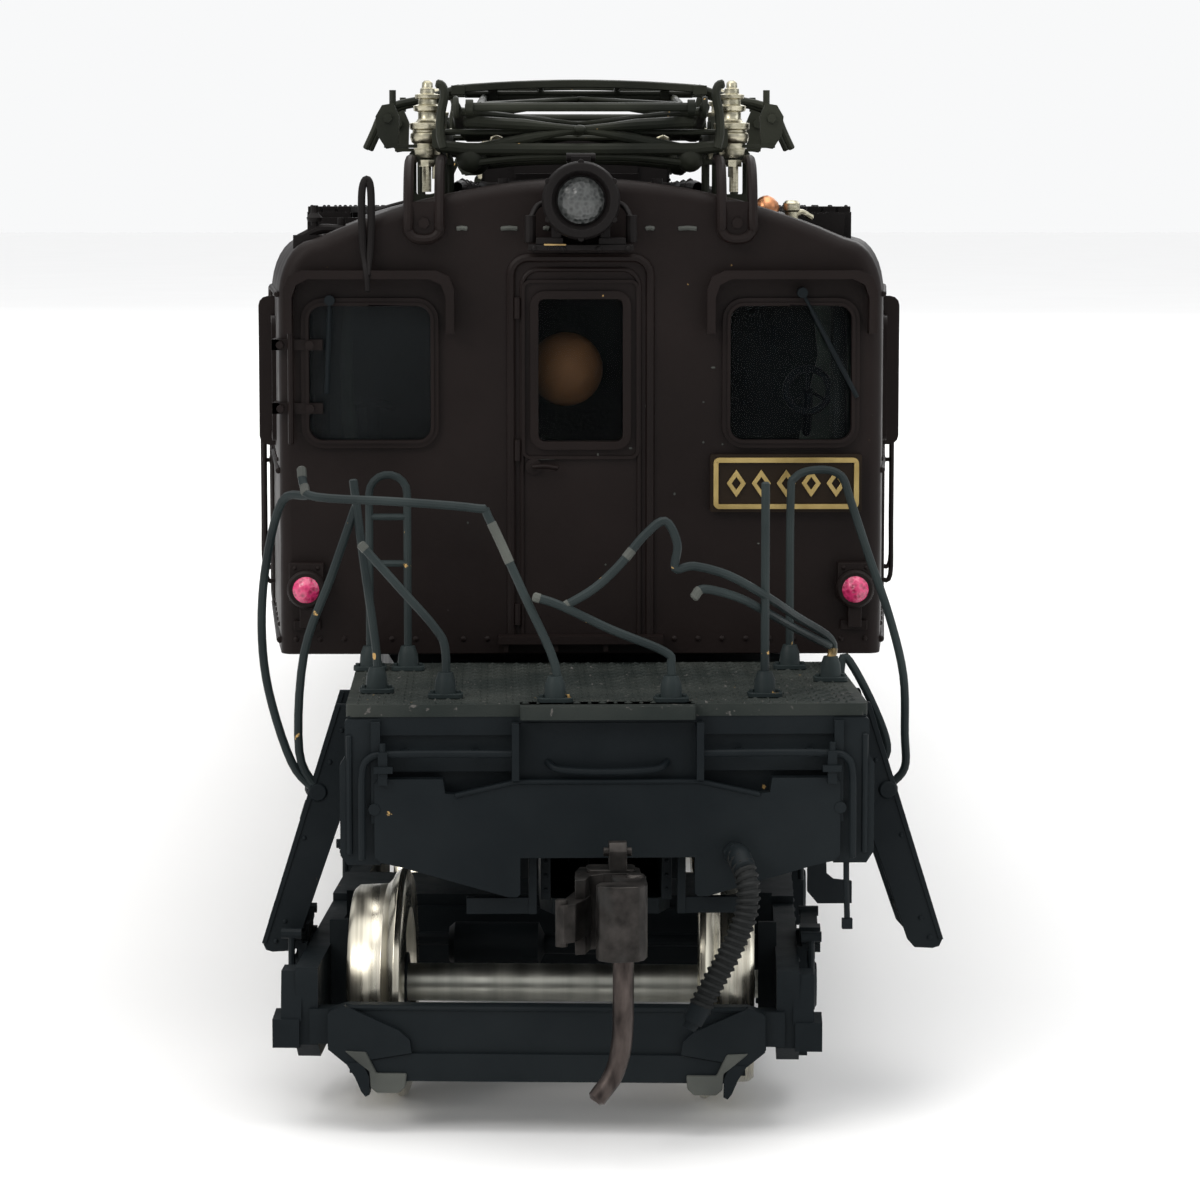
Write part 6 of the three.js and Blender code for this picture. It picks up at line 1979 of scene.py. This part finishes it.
def wheelset(name, body, node, level, end, y, tread_r, spokes, geared):
    """Tyres, spoked centres and the axle with its journals, each in its own metal."""
    at = place(level, end)
    steel, centres, axle = Form(), Form(), Form()
    origin = (0, y, tread_r)
    for side in (-1, 1):
        outer = INNER_FACE + TYRE
        rim = tread_r - 1.25
        section = [
            (INNER_FACE, rim + 0.1), (INNER_FACE, tread_r + 0.45), (INNER_FACE + 0.12, tread_r + 0.72),
            (INNER_FACE + 0.4, tread_r + 0.8), (INNER_FACE + 0.68, tread_r + 0.62),
            (INNER_FACE + 0.85, tread_r + 0.25), (INNER_FACE + 1.1, tread_r),
            (outer - 0.25, tread_r - 0.08), (outer, tread_r - 0.3), (outer, rim + 0.1), (outer - 0.25, rim),
        ]
        steel.turned(
            on_side(section, side) + [(side * (INNER_FACE + 0.25), rim)], origin, "x", 72, closed=True,
        )
        hub = 1.9 if geared else 1.5
        centre_out = outer - 0.35
        centres.turned(
            [
                (side * u, r)
                for u, r in (
                    (INNER_FACE + 0.1, 0.9), (INNER_FACE + 0.1, hub), (centre_out - 0.4, hub),
                    (centre_out - 0.1, hub - 0.2), (centre_out + 0.1, hub - 0.6), (centre_out + 0.1, 0.9),
                )
            ], origin, "x", 32, closed=True,
        )
        centres.turned(
            [
                (side * u, r)
                for u, r in (
                    (INNER_FACE + 0.5, rim - 0.55), (INNER_FACE + 0.5, rim + 0.15),
                    (centre_out - 0.25, rim + 0.15), (centre_out - 0.25, rim - 0.35),
                    (centre_out - 0.6, rim - 0.55),
                )
            ], origin, "x", 64, closed=True,
        )
        mid = side * (INNER_FACE + 1.45)
        for k in range(spokes):
            a = 2 * math.pi * k / spokes
            u = Vector((0, math.cos(a), math.sin(a)))
            v = Vector((0, -math.sin(a), math.cos(a)))
            rings = []
            for r, wide, thick in (
                (hub - 0.3, 0.52, 0.75), (hub + 0.5, 0.4, 0.62), ((hub + rim) / 2, 0.33, 0.52),
                (rim - 0.7, 0.36, 0.5), (rim - 0.2, 0.52, 0.55),
            ):
                centre = Vector((mid, y, tread_r)) + u * r
                rings.append(
                    [
                        centre + v * (wide * math.cos(t)) + Vector((thick * math.sin(t), 0, 0))
                        for t in (math.pi * i / 5 for i in range(10))
                    ]
                )
            centres.rings(rings)
    shaft = [(-11.75, AXIS), (-11.75, 0.55), (-11.6, 0.7), (-10.1, 0.7), (-10.0, 0.95), (-7.3, 0.95)]
    if geared:
        shaft += [(-3.2, 0.95), (-3.1, 1.5), (-1.6, 1.5)]
    full = shaft + [(-u, r) for u, r in reversed(shaft)]
    axle.turned(full, origin, "x", 28)
    make(f"{name}_tyres", steel, NICKEL, body, at, (node,), bevel=0.03, angle=40)
    make(f"{name}_centres", centres, FRAME_PAINT, body, at, bevel=0.04)
    make(f"{name}_axle", axle, AXLE_STEEL, body, at, bevel=0.03)
    if geared:
        gear = Form()
        teeth, root, tip = 30, 3.35, 3.9
        outline = []
        for k in range(teeth):
            for step, r in ((0.0, root), (0.2, root), (0.38, tip), (0.62, tip), (0.8, root)):
                a = 2 * math.pi * (k + step) / teeth
                outline.append((y + r * math.cos(a), tread_r + r * math.sin(a)))
        gear.plate("x", -1.3, 1.3, outline, [circle(y, tread_r, 0.93)])
        gear.turned([(-1.9, 0.93), (-1.9, 1.9), (1.9, 1.9), (1.9, 0.93)], origin, "x", 28, closed=True)
        make(f"{name}_worm_wheel", gear, BARE_BRASS, body, at, bevel=0.03)


# ---------------------------------------------------------------------------------------------
# Driving bogie: side frames, axleboxes, springs, brakes, motor and worm drive
# ---------------------------------------------------------------------------------------------
FRAME_IN, FRAME_OUT = 11.1, 12.2
DRIVER_Y = (-61, -37.5, -14)
LEADER_Y = (-109, -82.5)
DRIVER_R = joint_mm("front_driving_axle_1_spin").z
LEADER_R = joint_mm("front_leading_axle_1_spin").z
BOGIE_PIN_Y = -47  # the pin that the driving bogie turns on
DRAWBAR_Y = -70  # the pin that the leading truck turns on
FRAME_TOP = 18.1
WORM_Z = 13.2  # the worm shaft's height
SPRING_Z = 13.2
BRAKE_X = 9.2


def leaf_spring(form, side, y, z, half, leaves, x=12.75):
    """A stack of bowed leaves under a buckle, with hangers at the ends."""
    for k in range(leaves):
        reach = half * (1 - 0.14 * k)
        lift = 0.2 * k
        ring = []
        for i in range(9):
            t = -1 + 2 * i / 8
            ring.append((y + reach * t, z - lift + 0.5 * (reach / half) ** 2 * t * t))
        outline = ring + [(u, v + 0.17) for u, v in reversed(ring)]
        form.side_plate(side, x - 0.42, x + 0.42, outline)
    form.box(side * (x - 0.52), side * (x + 0.52), y - 0.55, y + 0.55, z - 0.2 * leaves, z + 0.45)
    for sign in (-1, 1):
        form.tube(
            [(side * x, y + sign * half * 0.96, z + 0.45), (side * x, y + sign * half * 0.98, z - 1.3)],
            0.17, 8, 2,
        )
        form.rod(
            (side * (x - 0.5), y + sign * half * 0.96, z + 0.55),
            (side * (x + 0.5), y + sign * half * 0.96, z + 0.55), 0.26, sides=10,
        )


def axlebox(form, side, y, axle):
    """A cast axlebox with its horn guides, cover and four bolts."""
    inner, outer = side * (FRAME_OUT - 0.1), side * (FRAME_OUT + 0.75)
    form.plate("x", *sorted((inner, outer)), rounded(y - 1.7, y + 1.7, axle - 1.8, axle + 1.6, 0.35))
    form.turned(
        [
            (side * FRAME_OUT, AXIS), (side * FRAME_OUT, 1.25), (side * (FRAME_OUT + 0.85), 1.25),
            (side * (FRAME_OUT + 1.0), 1.05), (side * (FRAME_OUT + 1.0), 0.35),
            (side * (FRAME_OUT + 0.9), AXIS),
        ], (0, y, axle), "x", 24,
    )
    for u in (-1.35, 1.35):
        for v in (-1.4, 1.2):
            form.rod(
                (side * (FRAME_OUT + 0.6), y + u, axle + v), (side * (FRAME_OUT + 0.95), y + u, axle + v),
                0.2, sides=6,
            )
    for sign in (-1, 1):
        form.box(
            side * FRAME_OUT, side * (FRAME_OUT + 0.45), y + sign * 1.85, y + sign * 2.4, axle - 2.9,
            axle + 2.4,
        )
    form.box(side * FRAME_OUT, side * (FRAME_OUT + 0.5), y - 2.4, y + 2.4, axle - 3.1, axle - 2.6)


def frame_rivets(form, side, places, head):
    """Rivets on the outside of a side frame, at (y, z) places."""
    for y, z in places:
        form.stamp(head, Matrix.Translation((side * FRAME_OUT, y, z)) @ Matrix.Scale(side, 4, (1, 0, 0)))


def cut_frame(form, outline, holes):
    """The two side frames of a bogie or truck."""
    for side in (-1, 1):
        form.side_plate(side, FRAME_IN, FRAME_OUT, outline, holes)


def brake_shoe(form, side, y, wheel_r, toward):
    """A curved brake block against a tread, on its hanger."""
    x0, x1 = sorted((side * 8.3, side * 10.0))
    centre_y, r = y, wheel_r + 0.35
    spread = [math.radians(-16 + 8 * k) for k in range(5)]
    inner = [(centre_y + toward * r * math.cos(a), wheel_r + r * math.sin(a)) for a in spread]
    outer = [
        (centre_y + toward * (r + 0.75) * math.cos(a), wheel_r + (r + 0.75) * math.sin(a)) for a in spread
    ]
    form.plate("x", x0, x1, inner + outer[::-1])
    top = (side * BRAKE_X, y + toward * (r + 1.1), wheel_r + 4.6)
    form.tube([(side * BRAKE_X, y + toward * (r + 0.9), wheel_r - 0.3), top], 0.28, 8, 2)


def bogie(end):
    """Side frames, top plate and stretchers, then axleboxes, springs and brakes."""
    at, body = place("bogie", end), f"{end}_bogie"
    form = Form()
    bottom = []
    for y in DRIVER_Y:
        bottom += [
            (y - 3.4, 8.4), (y - 2.8, 5.2), (y - 2.2, 4.6), (y + 2.2, 4.6), (y + 2.8, 5.2), (y + 3.4, 8.4),
        ]
    outline = bottom + [
        (-8, 8.4), (-5.6, 10.8), (-5.6, FRAME_TOP), (-72, FRAME_TOP), (-72, 14), (-70.5, 12.4), (-66.2, 8.4),
    ]
    holes = []
    for y in (-49.3, -25.7):
        holes.append(rounded(y - 5.6, y + 5.6, 10.6, 15.4, 1.2))
    cut_frame(form, outline, holes)
    top = [
        (-FRAME_OUT, -72), (-8, -114.6), (8, -114.6), (FRAME_OUT, -72), (FRAME_OUT, -5.6),
        (-FRAME_OUT, -5.6),
    ]
    form.plate(
        "z", 17, FRAME_TOP, top,
        [
            rounded(-7.2, 7.2, -39, -11.4, 0.5), rounded(-6.2, 6.2, -9.4, -6.7, 0.3),
            circle(0, BOGIE_PIN_Y, 2.0),
        ],
    )
    for y in (-67.2, -10.4):
        form.plate(
            "y", y - 0.5, y + 0.5,
            [(-2.4, 17.5), (-2.4, 12.5), (-1.7, 11.2), (1.7, 11.2), (2.4, 12.5), (2.4, 17.5)],
            [circle(0, WORM_Z, 0.9)],
        )
    form.rod((0, DRAWBAR_Y, 6.4), (0, DRAWBAR_Y, 17.5), 1.0, sides=20)
    form.rod((0, DRAWBAR_Y, 5.9), (0, DRAWBAR_Y, 6.6), 1.6, sides=6)
    form.turned(
        [(0, 2.0), (0, 3.1), (0.45, 3.1), (0.6, 2.7), (0.6, 2.0)], (0, BOGIE_PIN_Y, 18.0), "z", 32,
        closed=True,
    )
    for y in (-73.5, -84, -96):
        form.box(-8.8 + (y < -90) * 1.0, 8.8 - (y < -90) * 1.0, y - 0.4, y + 0.4, 16.3, 17.05)
    for side in (-1, 1):
        form.box(side * FRAME_OUT, side * (FRAME_OUT + 0.35), -71.6, -6, 17.1, 17.6)
        form.box(side * FRAME_OUT, side * (FRAME_OUT + 0.22), -65.5, -9, 9.0, 9.5)
        # sand pipes
        for y in (-67.5, -8.5):
            form.tube(
                [
                    (side * 11.8, y, 12.5), (side * 10.6, y, 9),
                    (side * BRAKE_X, y + (1.0 if y < -30 else -1.0), 2.2),
                ], 0.25, 8, 4,
            )
        frame_rivets(form, side, [(-70.4 + 3.05 * k, 16.4) for k in range(22)], rivet(0.17, 0.13, 6))
        columns = [(y + u, z) for y in DRIVER_Y for u in (-4.2, 4.2) for z in (9.9, 11.3, 12.7, 14.1)]
        frame_rivets(form, side, columns, rivet(0.15, 0.12, 6))
    make(
        f"{end}_bogie_side_frames", form, FRAME_PAINT, body, at, (f"{end}_bogie_frame",),
        bevel=0.05,
    )
    gear = Form()
    for side in (-1, 1):
        for y in DRIVER_Y:
            axlebox(gear, side, y, DRIVER_R)
            leaf_spring(gear, side, y, SPRING_Z, 4.4, 5)
            gear.box(side * 12.35, side * 12.85, y - 0.3, y + 0.3, DRIVER_R + 1.5, 12.5)
        for y in (-49.25, -25.75):  # equalizing levers between the springs
            gear.side_plate(
                side, 12.4, 13.0,
                [
                    (y - 7.4, 11.5), (y - 7.4, 12.2), (y - 2, 13.4), (y + 2, 13.4), (y + 7.4, 12.2),
                    (y + 7.4, 11.5), (y + 1.5, 12.3), (y - 1.5, 12.3),
                ],
            )
            gear.rod((side * 12.2, y, 12.85), (side * 13.2, y, 12.85), 0.42, sides=12)
        # brake rigging
        for y in DRIVER_Y:
            brake_shoe(gear, side, y, DRIVER_R, -1)
        gear.tube(
            [(side * BRAKE_X, -70.5, 5.2), (side * BRAKE_X, -30, 5.0), (side * BRAKE_X, -9, 5.2)], 0.22, 8,
            2,
        )
    for y in DRIVER_Y:
        gear.rod((-9.4, y - 9.2, DRIVER_R - 0.2), (9.4, y - 9.2, DRIVER_R - 0.2), 0.3, sides=10)
    make(f"{end}_bogie_running_gear", gear, FRAME_PAINT, body, at, bevel=0.04)


def gear_wheel(form, teeth, root, tip, y0, y1, z, bore, phase=0.0):
    """A spur gear with a bore, across Y."""
    outline = []
    for k in range(teeth):
        for step, r in ((0.04, root), (0.22, tip), (0.4, tip), (0.58, root)):
            a = 2 * math.pi * (k + step + phase) / teeth
            outline.append((r * math.cos(a), z + r * math.sin(a)))
    form.plate("y", y0, y1, outline, [circle(0, z, bore)])


def drive(end):
    """Motor case, wound armature with its pinion, and the worm shaft with its gear."""
    at = place("bogie", end)
    low, high = own_box("front_motor_can", "bogie")
    axis, r = (low.z + high.z) / 2, (high.x - low.x) / 2
    case = Form()
    case.turned(
        [
            (low.y, 1.1), (low.y, r - 0.8), (low.y + 0.4, r - 0.25), (low.y + 1.2, r - 0.1),
            (high.y - 1.2, r - 0.1), (high.y - 0.4, r - 0.25), (high.y, r - 0.8), (high.y, 1.1),
            (high.y - 0.8, 1.1), (high.y - 0.9, r - 0.9), (low.y + 0.9, r - 0.9), (low.y + 0.8, 1.1),
        ], (0, 0, axis), "y", 48, closed=True,
    )
    case.turned(
        [(low.y - 0.25, 1.05), (low.y - 0.25, 1.9), (low.y + 0.2, 2.1), (low.y + 0.2, 1.05)], (0, 0, axis),
        "y", 24, closed=True,
    )
    for a in (45, 135, 225, 315):
        c, s = math.cos(math.radians(a)), math.sin(math.radians(a))
        case.rod((4.1 * c, low.y - 0.2, axis + 4.1 * s), (4.1 * c, low.y + 0.4, axis + 4.1 * s), 0.4, sides=6)
    for z in (-2.0, 2.0):
        case.box(-0.5, 0.5, high.y - 0.3, high.y + 0.25, axis + z - 1.0, axis + z + 1.0)
    make(
        f"{end}_motor_case", case, MOTOR_CASE, f"{end}_bogie", at, (f"{end}_motor_can",),
        bevel=0.06,
    )
    core, coils = Form(), Form()
    core.turned([(low.y - 2, AXIS), (low.y - 2, 0.75), (-6.8, 0.75), (-6.8, AXIS)], (0, 0, axis), "y", 20)
    gear_wheel(core, 12, 2.55, 3.35, -8.9, -7.1, axis, 0.74, 0.73)
    core.turned(
        [(high.y - 5.8, 0.7), (high.y - 5.8, 2.1), (high.y - 3.2, 2.1), (high.y - 3.2, 0.7)], (0, 0, axis),
        "y", 24, closed=True,
    )
    for k in range(3):
        a = 2 * math.pi * k / 3
        u, v = Vector((math.cos(a), 0, math.sin(a))), Vector((-math.sin(a), 0, math.cos(a)))
        middle = Vector((0, 0, axis))
        for j in range(6):
            r0 = 1.5 + 0.45 * j
            w = 1.0 + 0.12 * j
            loop = [
                middle + u * r0 + v * (w * x) + Vector((0, y, 0))
                for x, y in rounded(-1, 1, low.y + 3.2, high.y - 6.6, 0.8, 2)
            ]
            coils.tube(loop, 0.24, 6, closed=True, smooth=False)
        face = [middle + u * 4.3 + v * x for x in (-2.0, -1.0, 0, 1.0, 2.0)]
        ring = [p - u * (0.12 * abs(i - 2) ** 1.5) for i, p in enumerate(face)]
        block = ring + [p - u * 0.5 for p in reversed(ring)]
        core.rings([[p + Vector((0, y, 0)) for p in block] for y in (low.y + 3.2, high.y - 6.4)])
    make(
        f"{end}_motor_core", core, MOTOR_CASE, f"{end}_motor_rotor", at,
        (f"{end}_motor_armature",), bevel=0.04,
    )
    make(f"{end}_motor_coils", coils, LACQUER, f"{end}_motor_rotor", at, bevel=0)
    worm = Form()
    worm.rod((0, -68.8, WORM_Z), (0, -6.8, WORM_Z), 0.68, sides=20)
    for y in DRIVER_Y:
        worm.rod((0, y - 3.3, WORM_Z), (0, y + 2.5, WORM_Z), 0.78, sides=20)
        thread = []
        for k in range(10 * 6 + 1):
            a = 2 * math.pi * k / 10
            thread.append((0.86 * math.cos(a), y - 3.0 + 5.2 * k / 60, WORM_Z + 0.86 * math.sin(a)))
        worm.tube(thread, 0.19, 6, smooth=False)
    gear_wheel(worm, 20, 4.65, 5.45, -8.75, -7.25, WORM_Z, 0.66, 0.23)
    worm.turned([(-9.1, 0.66), (-9.1, 1.5), (-8.8, 1.6), (-8.8, 0.66)], (0, 0, WORM_Z), "y", 24, closed=True)
    make(
        f"{end}_worm_and_gear", worm, BARE_BRASS, f"{end}_worm", at, (f"{end}_worm_shaft",),
        bevel=0.03,
    )


# ---------------------------------------------------------------------------------------------
# Leading truck
# ---------------------------------------------------------------------------------------------
def truck(end):
    """The leading truck's frames, drawbar, rail guard, axleboxes, springs and brake cylinder."""
    at, body = place("truck", end), f"{end}_truck"
    form = Form()
    top = 7.2
    outline = [
        (-116.7, 3.4), (-115.6, 2.6), (-106, 2.6), (-104, 4.2), (-87.5, 4.2), (-85.5, 2.6), (-79.5, 2.6),
        (-77.5, 4.4), (-77.5, top), (-116.7, top),
    ]
    cut_frame(form, outline, [rounded(-102.5, -89, 5.0, 6.3, 0.5)])
    half = [(8.9, 1.75), (9.7, 2.6), (10.45, 3.2), (10.6, 3.4), (10.6, 5.1), (10.45, 5.25), (9.7, 5.5)]
    form.plate("y", -117.15, -116.5, half + mirrored(half))
    form.box(-9.6, 9.6, -116.6, -115.9, 2.0, 5.3)
    lower = [(6.6, 1.8), (8.9, 1.8), (9.65, 2.6), (6.5, 3.15)]
    form.plate("y", -117.38, -117.0, lower + mirrored(lower))
    bead(form, [(x, -117.15, 5.35) for x in (-9.6, 9.6)], 0.14)
    form.box(-10.8, 10.8, -99.3, -98.9, 2.2, 7.0)
    # the guard's feet get the pale paint as a painted highlight on the lower guard, where it faces down and out
    guard_feet_highlight = Form()
    for side in (-1, 1):
        corner = [
            (10.55, 3.35), (10.55, 5.1), (10.4, 5.25), (9.75, 5.5), (7.1, 4.3), (6.6, 3.85), (6.5, 3.2),
            (9.7, 2.65),
        ]
        form.plate("y", -117.5, -117.1, on_side(corner, side))
        tip = [(9.7, 2.7), (9.25, 2.0), (8.95, 1.3), (8.75, 1.05), (8.55, 1.15), (8.55, 2.0), (8.9, 2.75)]
        form.plate("y", -117.55, -116.6, on_side(tip, side))
        foot = [
            (6.75, 2.2), (6.8, 1.55), (7.1, 1.25), (8.2, 1.25), (8.5, 1.5), (8.55, 2.3), (9.3, 2.9),
            (9.75, 3.3), (8.7, 3.25), (8.2, 2.2),
        ]
        guard_feet_highlight.plate("y", -117.6, -116.9, on_side(foot, side))
        form.box(side * 10.0, side * 11.5, -116.9, -115.8, 3.5, 5.2)
        form.box(side * 10.2, side * 11.0, -103.6, -103.2, 2.8, 8.6)
        form.box(side * 10.25, side * 11.15, -110.6, -110.2, 2.6, 8.4)
        form.side_plate(side, 12.0, 13.3, [(-117.0, 3.3), (-115.6, 3.1), (-115.3, 4.9), (-117.0, 4.7)])
        form.side_plate(side, 11.9, 12.9, [(-116.9, 4.6), (-115.4, 4.6), (-115.0, 7.0), (-116.5, 7.0)])
        for y in LEADER_Y:
            axlebox(form, side, y, LEADER_R)
            leaf_spring(form, side, y, LEADER_R + 2.55, 3.6, 4, 12.85)
        form.tube(
            [(side * BRAKE_X, -104.6, 8.5), (side * BRAKE_X, -102.9, 6.2), (side * BRAKE_X, -102.8, 3.6)],
            0.22, 8, 3,
        )
        brake = [(side * u, -103.3, v) for u, v in ((8.4, 3.4), (10.0, 3.4), (10.0, 6.8), (8.4, 6.8))]
        form.rings([[Vector(p) for p in brake], [Vector(p) + Vector((0, -0.7, 0)) for p in brake]])
        frame_rivets(form, side, [(-114.5 + 2.7 * k, 6.75) for k in range(13)], rivet(0.15, 0.11, 6))
    form.box(-FRAME_OUT, FRAME_OUT, -99, -92.5, 6.2, 7.6)
    neck, tip = -71, -68.1
    form.plate(
        "z", 7.2, 8.3,
        [
            (-3, -94), (3, -94), (2.2, neck), (1.6, tip + 0.5), (0.9, tip), (-0.9, tip), (-1.6, tip + 0.5),
            (-2.2, neck),
        ], [circle(0, DRAWBAR_Y, 1.3)],
    )
    form.turned([(8.25, 1.3), (8.25, 2.0), (8.6, 1.9), (8.6, 1.3)], (0, DRAWBAR_Y, 0), "z", 24, closed=True)
    # pale guard feet: painted highlight
    make(f"{end}_guard_feet", guard_feet_highlight, WEAR_AND_HIGHLIGHT_PAINT, body, at, bevel=0.08)
    for y in (-101.0, -90.5):
        form.tube([(-11.2, y, 5.6), (11.2, y, 5.6)], 0.35, 10, 2)
    # brake cylinder and rods over the first axle
    form.turned(
        [(-5.6, AXIS), (-5.6, 0.9), (-5.3, 1.15), (-1.0, 1.15), (-0.7, 0.5), (2.4, 0.5), (2.4, AXIS)],
        (0, -104.4, 6.0), "x", 20,
    )
    make(
        f"{end}_truck_side_frames", form, FRAME_PAINT, body, at, (f"{end}_truck_frame",),
        bevel=0.05,
    )


def floor_plate():
    """The floor inside the body, with the pivot pins, ballast blocks and the wiring's terminal board."""
    at = place("body")
    low, high = own_box("chassis_floor")
    form = Form()
    top = SILL + 1.2
    form.plate(
        "z", SILL, top, rounded(low.x, high.x, low.y, high.y, 1.5),
        [rounded(-11, 11, y0, y1, 0.8) for y0, y1 in ((-40, -5), (5, 40))],
    )
    for sign in (-1, 1):
        form.rod((0, sign * 47, low.z), (0, sign * 47, top + 0.4), 1.7, sides=28)
        form.rod((0, sign * 47, top), (0, sign * 47, top + 0.9), 2.8, sides=6)
        form.box(-13, 13, sign * 84, sign * 54, top - 0.1, top + 1.4)
        for x in (-13.4, 13.4):
            for k in range(4):
                form.rod((x, sign * (20 + 22 * k), top), (x, sign * (20 + 22 * k), top + 0.5), 0.6, sides=6)
    make("floor_and_pins", form, FRAME_PAINT, "body", at, ("chassis_floor",), bevel=0.08)


floor_plate()
for end_name in ("front", "rear"):
    end_deck(end_name)
    coupler(end_name)
    bogie(end_name)
    drive(end_name)
    truck(end_name)
    for number, axle_y in enumerate(DRIVER_Y, 1):
        wheelset(
            f"{end_name}_driver_{number}", f"{end_name}_driving_axle_{number}",
            f"{end_name}_driving_wheelset_{number}", "bogie", end_name, axle_y, DRIVER_R, 13, True,
        )
    for number, axle_y in enumerate(LEADER_Y, 1):
        wheelset(
            f"{end_name}_leader_{number}", f"{end_name}_leading_axle_{number}",
            f"{end_name}_leading_wheelset_{number}", "truck", end_name, axle_y, LEADER_R, 9, False,
        )
